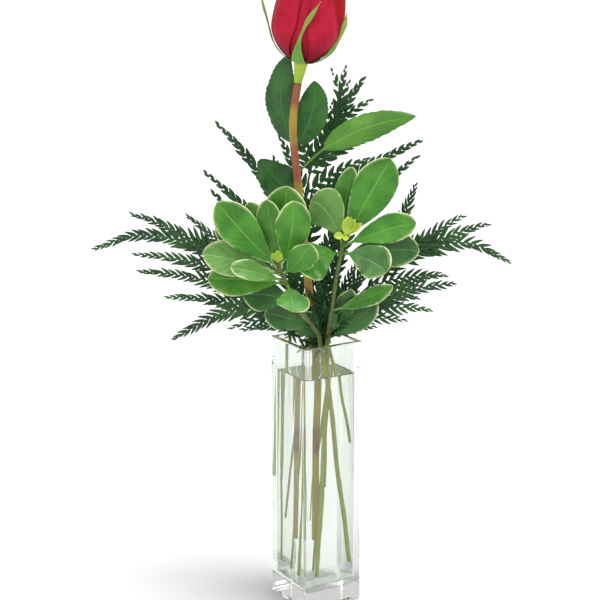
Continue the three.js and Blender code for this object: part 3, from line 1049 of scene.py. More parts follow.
@dataclass
class Vase:
    """The square glass and the water in it. Lengths are in metres."""

    wall: float = 0.0042
    floor: float = 0.017
    outer_radius: float = 0.0025
    cavity_radius: float = 0.0035
    edge: float = 0.0008
    freeboard: float = 0.025
    film: float = 0.00012  # how far the water reaches into the glass, so that no air shows between
    meniscus: float = 0.0014
    hollow: float = 0.0009  # how far the underside is drawn up inside its foot
    near: float = 0.4 * MM  # how far an extra ring or point stands from an edge that it keeps crisp
    underside: tuple[tuple[float, float], ...] = (
        (7.5, 1.0),
        (7.1, 1.0),
        (6.6, 0.9),
        (5.9, 0.5),
        (5.2, 0.1),
        (4.7, 0.0),
        (4.3, 0.0),
    )  # each ring's millimetres in from the side, and its share of the hollow
    corner_steps: int = 8
    side: float = field(init=False)
    height: float = field(init=False)

    def __post_init__(self) -> None:
        """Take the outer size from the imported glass."""
        low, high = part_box("vase_glass")
        self.side = high[0] - low[0]
        self.height = high[2]

    def square(self, side: float, radius: float, height: float) -> Array:
        """Give the points of a rounded square, with one more point close to each end of each corner.

        Args:
            side: Its side.
            radius: Its corner radius.
            height: Its height over the floor.

        Returns:
            The points, one to a row.
        """
        nudge = math.radians(2.0)
        corner_turns = np.linspace(0.0, math.pi / 2, self.corner_steps + 1)
        turns = np.concatenate([[-nudge], corner_turns, [math.pi / 2 + nudge]])
        corner = side / 2 - radius
        ring = []
        for quarter in range(4):
            start = quarter * math.pi / 2
            diagonal = start + math.pi / 4
            middle = np.array([math.cos(diagonal), math.sin(diagonal)]) * math.sqrt(2) * corner
            for turn in turns:
                angle = start + min(max(turn, 0.0), math.pi / 2)
                point = middle + radius * np.array([math.cos(angle), math.sin(angle)])
                if turn < 0.0:
                    point = point - self.near * np.array([-math.sin(angle), math.cos(angle)])
                elif turn > math.pi / 2:
                    point = point + self.near * np.array([-math.sin(angle), math.cos(angle)])
                ring.append([point[0], point[1], height])
        return np.array(ring)

    def eased(self, side: float, radius: float, heights: Triple, inward: float) -> list[Array]:
        """Give the rings of a quarter round where a wall meets a flat.

        Args:
            side: The wall's side.
            radius: The wall's corner radius.
            heights: The wall's end of the round, the flat's, and how far each ring stays back.
            inward: 1 where the flat is nearer the middle than the wall, and -1 where it is further.

        Returns:
            The rings, from the wall to the flat.
        """
        wall_end, flat, reach = heights
        rings = []
        for angle in np.linspace(0.0, math.pi / 2, 5):
            back = reach * (1.0 - math.cos(angle)) * inward
            height = wall_end + (flat - wall_end) * math.sin(angle)
            rings.append(self.square(side - 2.0 * back, max(radius - back, 0.0003), height))
        return rings

    def lofted(self, name: str, rings: Sequence[Array]) -> bpy.types.Mesh:
        """Skin rings of points into a closed mesh.

        Args:
            name: The mesh's name.
            rings: The rings, from the underside round to the last flat.

        Returns:
            The mesh.
        """
        sides = len(rings[0])
        points = np.concatenate(rings)
        at = np.arange(len(points)).reshape(len(rings), sides)
        faces = [list(at[0, ::-1]), list(at[-1])]
        for j in range(len(rings) - 1):
            for i in range(sides):
                k = (i + 1) % sides
                faces.append([at[j, i], at[j, k], at[j + 1, k], at[j + 1, i]])
        uvs = np.stack([np.tile(np.arange(sides) / sides, len(rings)), points[:, 2] / self.height], axis=-1)
        return new_mesh(name, points, faces, uvs)

    def glass(self) -> bpy.types.Mesh:
        """Make the glass: a thick floor, four walls and a polished rim.

        Returns:
            The mesh.
        """
        e, near = self.edge, self.near
        side, inner = self.side, self.side - 2.0 * self.wall
        deep = 2.0 * e
        bottom = self.eased(side, self.outer_radius, (e, 0.0, e), 1.0)[::-1]
        hollow = []
        for back, rise in self.underside:
            hollow.append(self.square(side - 2.0 * back * MM, self.outer_radius - e, rise * self.hollow))
        inset = self.square(side - 2.0 * (e + near), self.outer_radius - e, 0.0)
        walls = [
            self.square(side, self.outer_radius, e + near),
            self.square(side, self.outer_radius, self.height - e - near),
        ]
        top = self.eased(side, self.outer_radius, (self.height - e, self.height, e), 1.0)
        lip = self.eased(inner, self.cavity_radius, (self.height - e, self.height, e), -1.0)[::-1]
        cavity = [
            self.square(inner, self.cavity_radius, self.height - e - near),
            self.square(inner, self.cavity_radius, self.floor + deep + near),
        ]
        base = self.eased(inner, self.cavity_radius, (self.floor + deep, self.floor, deep), 1.0)
        last = self.square(inner - 2.0 * (deep + near), self.cavity_radius - deep, self.floor)
        rings = [*hollow, inset, *bottom, *walls, *top, *lip, *cavity, *base, last]
        return self.lofted("vase_glass_form", rings)

    def water(self) -> bpy.types.Mesh:
        """Make the water, which climbs a little way up the glass round its surface.

        Returns:
            The mesh.
        """
        side = self.side - 2.0 * self.wall + 2.0 * self.film
        radius = self.cavity_radius
        low, top = self.floor - self.film, self.height - self.freeboard
        deep, near = 2.0 * self.edge, self.near
        bottom = self.eased(side, radius, (low + deep, low, deep), 1.0)[::-1]
        inset = self.square(side - 2.0 * (deep + near), radius - deep, low)
        lip = top + self.meniscus
        wall = [self.square(side, radius, low + deep + near)]
        wall += [self.square(side, radius, lip - drop) for drop in (near, 0.25 * near, 0.0)]
        surface = []
        for back in (0.15, 0.35, 0.8, 1.5, 2.4, 3.2, 3.6):
            rise = self.meniscus * math.exp(-back * 1.3)
            surface.append(self.square(side - 2.0 * back * MM, max(radius - back * MM, 0.0004), top + rise))
        return self.lofted("water_form", [inset, *bottom, *wall, *surface])

    def build(self) -> None:
        """Make the vase and its water."""
        piece("vase_glass_clear", self.glass(), Body.VASE, "glass", GLASS, ["vase_glass"])
        piece("vase_water", self.water(), Body.VASE, "water", WATER, ["water_fill"])


# ---------------------------------------------------------------- stems


@dataclass(frozen=True)
class Stem:
    """A stem's route: straight from its foot to the mouth, then bent out to its flower or leaves."""

    body: Body
    radius: float
    foot: tuple[float, float]  # in the cavity, as shares of the stem's room there
    mouth: tuple[float, float]
    lift: float  # of the foot over the vase's floor
    path: tuple[Triple, ...]  # the bend, from the vase's centre at the rim
    cavity: float = 41.6
    clearance: float = 1.0
    floor: float = 17.0
    rim: float = 203.0
    neck: float = 5.0

    def place(self, shares: tuple[float, float], height: float) -> Array:
        """Give a place in the cavity.

        Args:
            shares: Its place on the vase's X and Y.
            height: Its height.

        Returns:
            The place in the arrangement's frame.
        """
        room = self.cavity / 2 - self.radius - self.clearance
        x, y = shares[0] * room, shares[1] * room
        c, s = math.cos(-FRONT_TURN), math.sin(-FRONT_TURN)
        return np.array([x * c - y * s, x * s + y * c, height])

    def low(self) -> Array:
        """Give the foot."""
        return self.place(self.foot, self.floor + self.lift)

    def high(self) -> Array:
        """Give the place where the stem passes the rim."""
        return self.place(self.mouth, self.rim)

    def bend(self) -> Spline:
        """Give the bend over the rim.

        Returns:
            The curve, from the rim to the end of the stem.
        """
        low, high = self.low(), self.high()
        neck = high + unit(high - low) * self.neck
        return Spline([high, neck, *[np.array(point) + [0.0, 0.0, self.rim] for point in self.path]])

    def on_bend(self, t: float) -> Array:
        """Give the point at a share of the bend."""
        return self.bend().at(t)

    def line(self, spacing: float, sway: float) -> Array:
        """Give the whole centre line, with the slight sway of a grown stem.

        Args:
            spacing: The distance between points.
            sway: How far it strays from its route.

        Returns:
            The points, one to a row.
        """
        low, high = self.low(), self.high()
        count = int(np.linalg.norm(high - low) / spacing)
        straight = low + np.linspace(0.0, 1.0, count, endpoint=False)[:, None] * (high - low)
        bend = self.bend().samples(140)
        run = np.concatenate([[0.0], np.cumsum(np.linalg.norm(np.diff(bend, axis=0), axis=1))])
        even = np.linspace(0.0, run[-1], int(run[-1] / spacing) + 2)
        curved = np.stack([np.interp(even, run, bend[:, axis]) for axis in range(3)], axis=-1)
        points = np.concatenate([straight, curved])
        share = np.linspace(0.0, 1.0, len(straight))
        phase = sum(self.foot) * 5.0
        drift = sway * np.sin(math.pi * share) * np.sin(share * 11.0 + phase)
        points[: len(straight), 0] += drift
        points[: len(straight), 1] += sway * 0.5 * np.sin(math.pi * share) * np.cos(share * 8.0 + phase)
        return points

    def rod(
        self, name: str, sides: int, sway: float, node_gap: float, swell: float, tip: float = 1.0
    ) -> bpy.types.Mesh:
        """Make the stem's mesh, with its nodes and a slightly narrowed foot.

        Args:
            name: The mesh's name.
            sides: How many faces go round it.
            sway: How far it strays from its route.
            node_gap: The distance between its nodes.
            swell: How much it thickens at a node.
            tip: How thick its upper end is, as a share of the foot.

        Returns:
            The mesh.
        """
        line = self.line(2.5, sway)
        run = np.concatenate([[0.0], np.cumsum(np.linalg.norm(np.diff(line, axis=0), axis=1))])
        from_node = (run + 7.0) % node_gap
        from_node = np.minimum(from_node, node_gap - from_node)
        taper = 1.0 + (tip - 1.0) * smooth(run / run[-1], 0.45, 1.0)
        radii = self.radius * taper * (1.0 + swell * np.exp(-((from_node / 2.2) ** 2)))
        radii[0] *= 0.93
        return tube(name, line, radii, sides)


STEMS = {
    Body.ROSE: Stem(
        Body.ROSE, 2.9, (-0.33, 0.2), (-0.15, 0.09), 31, ((-12, 0, 102), (-17, 0, 158), (-13.5, 0, 187.7))
    ),
    Body.SPRIG_LEFT: Stem(
        Body.SPRIG_LEFT,
        1.8,
        (0.95, -0.97),
        (-0.29, -0.74),
        13,
        ((-9, -30, 26), (-22, -46, 54), (-27, -50, 68)),
    ),
    Body.SPRIG_RIGHT: Stem(
        Body.SPRIG_RIGHT, 1.8, (-0.29, -0.08), (0.11, -0.66), 2, ((11, -20, 26), (15, -31, 58), (20, -34, 84))
    ),
    Body.FERN_LEFT: Stem(
        Body.FERN_LEFT,
        1.2,
        (-0.85, 0.85),
        (-0.64, 0.95),
        10,
        ((-26, 16, 14), (-43, 19, 36), (-75, 19, 58), (-104, 19, 70), (-134, 19, 73), (-161, 19, 64)),
    ),
    Body.FERN_LEFT_LOW: Stem(
        Body.FERN_LEFT_LOW,
        1.2,
        (0.92, -0.95),
        (0.52, 0.12),
        108,
        ((-12, 7, 12), (-27, 0, 18), (-42, -1, 22), (-58, 0, 22), (-78, 0, 15), (-102, 0, 1)),
    ),
    Body.FERN_BACK: Stem(
        Body.FERN_BACK,
        1.2,
        (0.44, 0.76),
        (0.6, 0.86),
        68,
        ((-8, 28, 80), (-4, 29, 122), (10, 29, 150), (22, 29, 170), (31, 29, 184)),
    ),
    Body.FERN_RIGHT: Stem(
        Body.FERN_RIGHT,
        1.2,
        (-0.38, 0.9),
        (0.76, 0.33),
        43,
        ((38, 18, 34), (62, 18, 54), (84, 18, 65), (113, 18, 68), (139, 18, 56)),
    ),
    Body.FERN_RIGHT_LOW: Stem(
        Body.FERN_RIGHT_LOW,
        1.2,
        (-0.18, 0.61),
        (0.43, -0.2),
        3,
        ((22, -5, 14), (40, -7, 25), (58, -7, 34), (76, -7, 40), (96, -7, 43)),
    ),
}


# ---------------------------------------------------------------- leaves


@dataclass(frozen=True)
class Leaf:
    """One leaf: where it leaves its stem's bend, its tip from the vase's centre at the rim, its face."""

    t: float
    tip: Triple
    width: float
    bow: Triple
    facing: Triple
    finish: Finish
    stalk: float | None = None


@dataclass(frozen=True)
class LeafForm:
    """The form that all the leaves of one plant share."""

    stalk: float
    widest: float
    cup: float
    fullness: float
    teeth: int = 0
    tooth: float = 0.0
    wave: float = 0.0
    groove: float = 0.35
    arch: float = 0.0
    thickness: float = 0.5
    petiole: float = 1.6
    columns: int = 16
    rows: int = 40

    def half_width(self, width: float, stalk: float, v: Array) -> Array:
        """Give the half width along the leaf: a narrow stalk, then the blade.

        Args:
            width: The blade's width.
            stalk: The stalk's share of the length.
            v: The share of the length.

        Returns:
            The half width.
        """
        t = np.clip((v - stalk) / (1.0 - stalk), 0.0, 1.0)
        power = math.log(0.5) / math.log(self.widest)
        lobe = np.sin(math.pi * t**power) ** self.fullness
        if self.teeth:
            saw = (t * self.teeth) % 1.0
            lobe = lobe * (1.0 - self.tooth * saw * smooth(t, 0.05, 0.2))
        return np.maximum(self.petiole / 2 * (1.0 - 0.75 * t), width / 2 * lobe)

    def mesh(self, name: str, start: Array, end: Array, leaf: Leaf, seed: int) -> bpy.types.Mesh:
        """Make one leaf.

        Args:
            name: The mesh's name.
            start: Where it starts, in the arrangement's frame.
            end: Its tip.
            leaf: Its width, bow and face.
            seed: What its waves are drawn from.

        Returns:
            The mesh.
        """
        stalk = self.stalk if leaf.stalk is None else leaf.stalk
        chance = np.random.default_rng(seed)
        phase, beat, lean = chance.uniform(0.0, 6.0), chance.uniform(2.2, 3.4), chance.uniform(-1.0, 1.0)
        middle = (start + end) / 2 + np.array(leaf.bow)
        facing = unit(np.array(leaf.facing, dtype=float))

        def point(u: Array, v: Array) -> Array:
            """Give the leaf's middle surface at shares of its width and length.

            Args:
                u: The share across, from -1 to 1.
                v: The share of the length.

            Returns:
                The points.
            """
            along = v[:, :1]
            spine = (1 - along) ** 2 * start + 2 * along * (1 - along) * middle + along**2 * end
            way = unit(2 * (1 - along) * (middle - start) + 2 * along * (end - middle))
            side = unit(np.cross(way, facing))
            out = np.cross(side, way)
            half = self.half_width(leaf.width, stalk, v[:, 0])[:, None, None]
            bladed = smooth(v, stalk, stalk + 0.2)
            shift = self.cup * half[..., 0] * u * u
            ripple = np.sin(v * beat * 2 * math.pi + phase + lean * u)
            shift = shift + self.wave * bladed * np.abs(u) ** 1.6 * ripple
            shift = shift - self.groove * bladed * np.exp(-((u / 0.12) ** 2))
            shift = shift + self.arch * bladed * np.sin(math.pi * v) * lean
            return spine[:, None] + side[:, None] * half * u[..., None] + out[:, None] * shift[..., None]

        def half_width(v: Array) -> Array:
            """Give this leaf's half width along it."""
            return self.half_width(leaf.width, stalk, v)

        return sheet(name, point, self.thickness, self.columns, self.rows, half_width)


ROSE_FORM = LeafForm(
    stalk=0.08, widest=0.45, cup=-0.12, fullness=0.68, teeth=17, tooth=0.10, wave=0.9, arch=1.2
)
SPRIG_FORM = LeafForm(stalk=0.12, widest=0.64, cup=0.13, fullness=0.56, wave=0.9, arch=1.2)


@dataclass
class Leaves:
    """Leaves on one stem."""

    stem: Stem
    form: LeafForm
    slot: str
    table: dict[str, Leaf]

    def build(self) -> None:
        """Make each leaf as a piece of its own."""
        for count, (name, leaf) in enumerate(self.table.items()):
            start = self.stem.on_bend(leaf.t)
            end = np.array(leaf.tip, dtype=float) + [0.0, 0.0, self.stem.rim]
            mesh = self.form.mesh(f"{name}_form", start, end, leaf, 17 * count + 3)
            piece(f"{name}_blade", mesh, self.stem.body, self.slot, leaf.finish, [name])


# ---------------------------------------------------------------- rose


@dataclass(frozen=True)
class Petal:
    """One petal: its middle and half width in degrees round the bud, its layer and its own set."""

    middle: float
    half: float
    layer: int
    slope: float = 0.0  # how far its upper right edge draws back, in degrees
    stand: float = 0.0  # how far it stands off the bud
    finish: Finish = PETAL


@dataclass
class Rose:
    """The rose: its stem, hip, sepals, petals and leaves. Lengths are in millimetres."""

    stem: Stem
    hip_height: float = 13.0
    hip_gap: float = 0.6  # from the hip's top to the petals' base
    hip_radius: float = 5.6
    tilt: float = 9.0
    bud_radius: float = 24.5
    bud_height: float = 65.0
    bud_base: float = 4.9
    bud_top: float = 18.5
    step: float = 1.6
    base_step: float = 0.85
    layer_lift: float = 0.6
    petal_base: float = 0.8
    petal_thickness: float = 0.45
    sepal_half: float = 4.0
    sepal_clearance: float = 1.3
    sepal_thickness: float = 0.55
    inner_thickness: float = 0.35
    inner_petals: int = 11
    petals: tuple[Petal, ...] = (
        Petal(205, 48, 0),
        Petal(312, 41, 0, slope=34),
        Petal(80, 56, 0),
        Petal(262, 53, 1),
        # two petals here take the darker copy of the petal finish, as painted shade
        Petal(8, 49, 1, stand=2.6, finish=SHADED_PETAL),
        Petal(130, 61, 1),
        Petal(330, 57, 2, finish=SHADED_PETAL),
        Petal(90, 57, 2),
        Petal(210, 57, 2),
        Petal(30, 86, 3),
        Petal(210, 86, 3),
    )
    sepals: tuple[tuple[float, float, float, float], ...] = (
        (188, 46, 12, 0),
        (258, 45, 5, 26),
        (334, 40, 3, 8),
        (46, 44, 3, 0),
        (118, 44, 3, -10),
    )

    def axis(self) -> Array:
        """Give the way that the head points."""
        lean = math.radians(self.tilt)
        return np.array([math.sin(lean), 0.0, math.cos(lean)])

    def placed(self, points: Array) -> Array:
        """Tilt points of the head's own frame and set them on the stem.

        Args:
            points: The points, from the hip's top.

        Returns:
            The points in the arrangement's frame.
        """
        lean = math.radians(self.tilt)
        c, s = math.cos(lean), math.sin(lean)
        turn = np.array([[c, 0.0, s], [0.0, 1.0, 0.0], [-s, 0.0, c]])
        return points @ turn.T + self.stem.on_bend(1.0) + self.axis() * (self.hip_height + self.hip_gap)

    def bud(self, height: Array) -> Array:
        """Give the bud's outer radius at a height over the petals' base.

        Args:
            height: The height.

        Returns:
            The radius.
        """
        t = np.clip(height / self.bud_height, 0.0, 1.0)
        widest = 0.38
        swell = np.sin(math.pi / 2 * np.clip(t / widest, 0.0, 1.0)) ** 0.62
        close = np.clip((t - widest) / (1 - widest), 0.0, 1.0) ** 1.8
        opened = self.bud_base + (self.bud_radius - self.bud_base) * swell
        return opened - (self.bud_radius - self.bud_top) * close

    def layer_radius(self, height: Array, layer: float) -> Array:
        """Give the radius of a layer of petals.

        Args:
            height: The height over the petals' base.
            layer: The layer, from the outside in.

        Returns:
            The radius.
        """
        step = self.base_step + (self.step - self.base_step) * smooth(height / self.bud_height, 0.0, 0.25)
        return self.bud(height) - layer * step

    def petal(self, name: str, petal: Petal, seed: int) -> bpy.types.Mesh:
        """Make one outer petal, with a rolled lip, soft folds and edges that turn back.

        Args:
            name: The mesh's name.
            petal: Its place.
            seed: What its folds are drawn from.

        Returns:
            The mesh.
        """
        chance = np.random.default_rng(seed)
        phase, folds, lip = chance.uniform(0, 6), chance.uniform(3.0, 5.0), chance.uniform(0.7, 1.25)
        middle, spread = math.radians(petal.middle), math.radians(petal.half)
        top = self.bud_height * (0.93 + 0.02 * petal.layer)

        def point(u: Array, v: Array) -> Array:
            """Give the petal's middle surface at shares of its width and length.

            Args:
                u: The share across, from -1 to 1.
                v: The share of the length.

            Returns:
                The points.
            """
            angle = middle + spread * (0.3 + 0.7 * smooth(v, -0.25, 0.5)) * u
            angle = angle - math.radians(petal.slope) * smooth(v, 0.15, 0.8) * (u + 1) / 2
            height = top * v * (1 - 0.14 * v * u * u)
            radius = self.layer_radius(height, petal.layer) - self.petal_thickness / 2
            room = smooth(v, 0.12, 0.4)
            radius = radius + 0.55 * (1 - u * u) * room + 0.18 * room * np.sin(u * folds * 2 + phase)
            radius = radius + 0.7 * room * smooth(np.abs(u), 0.82, 1.0) ** 2
            radius = radius + petal.stand * smooth(v, 0.2, 0.55) * np.exp(-(((u + 0.15) / 0.55) ** 2))
            roll = smooth(v, 0.84, 1.0)
            radius = radius + lip * 4.2 * roll**2 * (1 - 0.35 * u * u) / (1 + 0.35 * petal.layer)
            height = height - lip * 1.8 * smooth(v, 0.93, 1.0) + 0.5 * roll * np.sin(u * 7 + phase)
            height = height + self.petal_base + petal.layer * self.layer_lift
            return self.placed(np.stack([radius * np.cos(angle), radius * np.sin(angle), height], axis=-1))

        return sheet(name, point, self.petal_thickness, 26, 34)

    def inner(self, name: str, count: int) -> bpy.types.Mesh:
        """Make one of the petals that wind round the heart.

        Args:
            name: The mesh's name.
            count: Its number from the outside in.

        Returns:
            The mesh.
        """
        share = count / self.inner_petals
        middle = math.radians(137.5 * count + 20)
        spread = math.radians(82 + 60 * share)
        layer = 4.3 + 8.2 * share

        def point(u: Array, v: Array) -> Array:
            """Give the inner petal's middle surface at shares of its width and length.

            Args:
                u: The share across, from -1 to 1.
                v: The share of the length.

            Returns:
                The points.
            """
            angle = middle + spread * u
            height = self.bud_height * (0.97 - 0.05 * share) * v * (1 - 0.05 * u * u)
            close = 1 - (0.12 + 0.3 * share) * smooth(v, 0.5, 1.0)
            radius = np.maximum(self.layer_radius(height, layer) * close, 0.6 + 1.4 * (1 - share))
            radius = radius - 0.9 * u + 1.6 * (1 - 0.5 * share) * smooth(v, 0.88, 1.0) ** 2
            radius = np.maximum(radius, 0.5)
            height = height + self.petal_base + 3.0 - 0.6 * smooth(v, 0.95, 1.0)
            return self.placed(np.stack([radius * np.cos(angle), radius * np.sin(angle), height], axis=-1))

        return sheet(name, point, self.inner_thickness, 30, 22)

    def sepal(self, name: str, values: tuple[float, float, float, float]) -> bpy.types.Mesh:
        """Make one sepal, folded along its middle and leafy towards its tip.

        Args:
            name: The mesh's name.
            values: Its place in degrees, its height, its curl and its sideways drift in degrees.

        Returns:
            The mesh.
        """
        centre, rise, curl, drift = values

        def point(u: Array, v: Array) -> Array:
            """Give the sepal's middle surface at shares of its width and length.

            Args:
                u: The share across, from -1 to 1.
                v: The share of the length.

            Returns:
                The points.
            """
            h = rise * v
            radius = self.bud(h) + self.sepal_clearance + curl * smooth(v, 0.35, 1.1)
            leafy = 1.1 * np.exp(-(((v - 0.74) / 0.13) ** 2))
            half = self.sepal_half * (1 - smooth(v, -0.1, 0.5)) + 0.85 + leafy
            half = half * (1 - 0.85 * smooth(v, 0.84, 1.0))
            angle = math.radians(centre) + math.radians(drift) * v * v + half * u / radius
            radius = radius + 0.28 * half * u * u + 0.55 * half * u * smooth(v, 0.1, 0.4)
            height = h + self.petal_base + 0.4 * np.sin(v * 9 + centre) * u
            return self.placed(np.stack([radius * np.cos(angle), radius * np.sin(angle), height], axis=-1))

        return sheet(name, point, self.sepal_thickness, 8, 36)

    def hip(self) -> bpy.types.Mesh:
        """Make the hip under the petals.

        Returns:
            The mesh.
        """
        shares = np.array([-1.2, -0.9, -0.75, -0.55, -0.35, -0.15, 0.0, 0.06])
        radii = np.array([2.6, 3.1, 3.5, 3.9, 4.3, 4.6, 5.0, 4.8])
        base = self.stem.on_bend(1.0) + self.axis() * (self.hip_height + self.hip_gap)
        line = base + np.outer(shares * self.hip_height, self.axis())
        drawn_for = 5.6  # the hip radius that the radii above belong to
        return tube("hip_form", line, radii * self.hip_radius / drawn_for, 32)

    def build(self) -> None:
        """Make every piece of the rose but its leaves."""
        rod = self.stem.rod("rose_stem_form", 20, 0.35, 46.0, 0.10, tip=0.98)
        piece("rose_stem_skin", rod, Body.ROSE, "rose_stem", ROSE_STEM, ["rose_stem"])
        piece("rose_hip_skin", self.hip(), Body.ROSE, "sepal", HIP, ["rose_hip"])
        for count, values in enumerate(self.sepals, 1):
            mesh = self.sepal(f"sepal_form_{count}", values)
            piece(f"rose_sepal_leaf_{count}", mesh, Body.ROSE, "sepal", SEPAL, [f"rose_sepal_{count}"])
        for count, petal in enumerate(self.petals, 1):
            mesh = self.petal(f"petal_form_{count}", petal, 40 + count)
            piece(f"rose_petal_skin_{count}", mesh, Body.ROSE, "petal", petal.finish, [f"rose_petal_{count}"])
        heart = joined("heart_form", [self.inner(f"inner_{i}", i) for i in range(self.inner_petals)])
        piece("rose_heart", heart, Body.ROSE, "petal", PETAL, ["rose_bud_core"])


# ---------------------------------------------------------------- sprigs


@dataclass
class Sprig:
    """A pittosporum sprig: its woody stem and the tuft of young leaves at its end."""

    stem: Stem
    name: str
    young: tuple[tuple[Triple, float], ...]  # each young leaf's tip from the sprig's end, and its width

    def tuft(self) -> bpy.types.Mesh:
        """Make the young leaves, all on the sprig's end.

        Returns:
            The mesh.
        """
        end = self.stem.on_bend(1.0)
        form = LeafForm(
            stalk=0.05,
            widest=0.55,
            cup=0.5,
            fullness=0.8,
            groove=0.1,
            thickness=0.7,
            petiole=1.2,
            columns=8,
            rows=14,
        )
        made = []
        for count, (tip, width) in enumerate(self.young):
            leaf = Leaf(1.0, tip, width, (0.0, -1.5, 0.0), (0.0, -1.0, 0.45), YOUNG_LEAF)
            made.append(form.mesh(f"young_{count}", end, end + np.array(tip), leaf, 90 + count))
        return joined(f"{self.name}_tuft_form", made)

    def build(self) -> None:
        """Make the stem and the tuft."""
        rod = self.stem.rod(f"{self.name}_stem_form", 14, 0.6, 24.0, 0.16, tip=0.7)
        piece(f"{self.name}_bark", rod, self.stem.body, "sprig_stem", BARK, [f"{self.name}_stem"])
        tuft = self.tuft()
        piece(f"{self.name}_young", tuft, self.stem.body, "sprig_bud", YOUNG_LEAF, [f"{self.name}_tuft"])


# ---------------------------------------------------------------- ferns


class LeafletTree:
    """The node tree that sets leaflets on both sides of each of a frond's midribs."""

    SIZES = {
        "Spacing": 0.0052,
        "Leaflet Length": 0.0165,
        "Leaflet Width": 0.0033,
        "Leaflet Thickness": 0.0005,
        "Midrib Radius": 0.00045,
        "Full Branch": 0.06,
    }

    def __init__(self) -> None:
        """Build the tree."""
        self.tree = bpy.data.node_groups.new("frond_leaflets", "GeometryNodeTree")
        face = self.tree.interface
        face.new_socket("Geometry", in_out="INPUT", socket_type="NodeSocketGeometry")
        self.keys = {}
        for name in self.SIZES:
            self.keys[name] = face.new_socket(name, in_out="INPUT", socket_type="NodeSocketFloat").identifier
        facing = face.new_socket("Facing", in_out="INPUT", socket_type="NodeSocketVector")
        self.keys["Facing"] = facing.identifier
        self.keys["Seed"] = face.new_socket("Seed", in_out="INPUT", socket_type="NodeSocketInt").identifier
        skin = face.new_socket("Skin", in_out="INPUT", socket_type="NodeSocketMaterial")
        self.keys["Skin"] = skin.identifier
        face.new_socket("Geometry", in_out="OUTPUT", socket_type="NodeSocketGeometry")
        self.fill()

    def leaflet(self, nodes: NodeSet) -> Value:
        """Add one leaflet: a flattened closed form, a unit long, that curves towards the tip.

        Args:
            nodes: The tree's nodes.

        Returns:
            The leaflet's mesh.
        """
        ball = nodes.add("GeometryNodeMeshUVSphere", None, {"Segments": 8, "Rings": 7, "Radius": 0.5})["Mesh"]
        turn = {"Geometry": ball, "Rotation": (0.0, math.pi / 2, 0.0), "Translation": (0.44, 0.0, 0.0)}
        laid = nodes.add("GeometryNodeTransform", None, turn)["Geometry"]
        place = nodes.add("GeometryNodeInputPosition")["Position"]
        split = nodes.add("ShaderNodeSeparateXYZ", None, {0: place})
        x, y, z = split["X"], split["Y"], split["Z"]
        fuller = 1.45 - x * 0.9
        sweep = x * x * -0.4
        camber = y * y * -0.9 - x * x * 0.4
        moved = nodes.add("ShaderNodeCombineXYZ", None, {"X": x, "Y": y * fuller + sweep, "Z": z + camber})[0]
        return nodes.add("GeometryNodeSetPosition", None, {"Geometry": laid, "Position": moved})["Geometry"]

    def row(self, nodes: NodeSet, sizes: Made, side: float, leaflet: Value, curve: Value) -> Value:
        """Add the leaflets of one side.

        Args:
            nodes: The tree's nodes.
            sizes: The group's inputs.
            side: 1 or -1.
            leaflet: The leaflet's mesh.
            curve: The midribs, with a point for each leaflet.

        Returns:
            The instances.
        """
        share = nodes.add("GeometryNodeSplineParameter")["Factor"]
        length = nodes.add("GeometryNodeSplineLength")["Length"]
        way = nodes.add("GeometryNodeInputTangent")[0]
        across = nodes.vector("CROSS_PRODUCT", sizes["Facing"], way)
        splay = 0.88 - share * 0.52
        primary = nodes.vector(
            "ADD",
            nodes.scaled(way, splay.math("COSINE")),
            nodes.scaled(across, splay.math("SINE") * side),
        )
        upright = nodes.scaled(sizes["Facing"], side)
        settings = {"primary_axis": "X", "secondary_axis": "Z"}
        axes = {"Primary Axis": primary, "Secondary Axis": upright}
        turn = nodes.add("FunctionNodeAxesToRotation", settings, axes)[0]
        loose = {"Min": (-0.35, -0.12, -0.10), "Max": (0.35, 0.22, 0.10), "Seed": sizes["Seed"] + side * 7.0}
        tilt = nodes.add("FunctionNodeRandomValue", {"data_type": "FLOAT_VECTOR"}, loose)[0]
        tilt = nodes.add("FunctionNodeEulerToRotation", None, {0: tilt})[0]
        turned = {"Rotation": turn, "Rotate By": tilt}
        turn = nodes.add("FunctionNodeRotateRotation", {"rotation_space": "LOCAL"}, turned)[0]
        shape = (1.0 - share).math("MAXIMUM", 0.0) ** 0.75 * (0.62 + 0.38 * share.step(0.0, 0.2))
        grown = (length / sizes["Full Branch"]).math("MINIMUM", 1.08) * 0.55 + 0.45
        vary = {2: 0.86, 3: 1.12, "Seed": sizes["Seed"] + side * 3.0}
        luck = nodes.add("FunctionNodeRandomValue", {"data_type": "FLOAT"}, vary)[1]
        size = (shape * 0.72 + 0.28) * grown * luck
        scale = nodes.add(
            "ShaderNodeCombineXYZ",
            None,
            {
                "X": size * sizes["Leaflet Length"],
                "Y": (size * 0.8 + 0.2) * sizes["Leaflet Width"],
                "Z": sizes["Leaflet Thickness"],
            },
        )[0]
        if side < 0:
            stagger = nodes.scaled(way, sizes["Spacing"] * 0.45)
            moved = {"Geometry": curve, "Offset": stagger}
            curve = nodes.add("GeometryNodeSetPosition", None, moved)["Geometry"]
        placed = {"Points": curve, "Instance": leaflet, "Rotation": turn, "Scale": scale}
        return nodes.add("GeometryNodeInstanceOnPoints", None, placed)["Instances"]

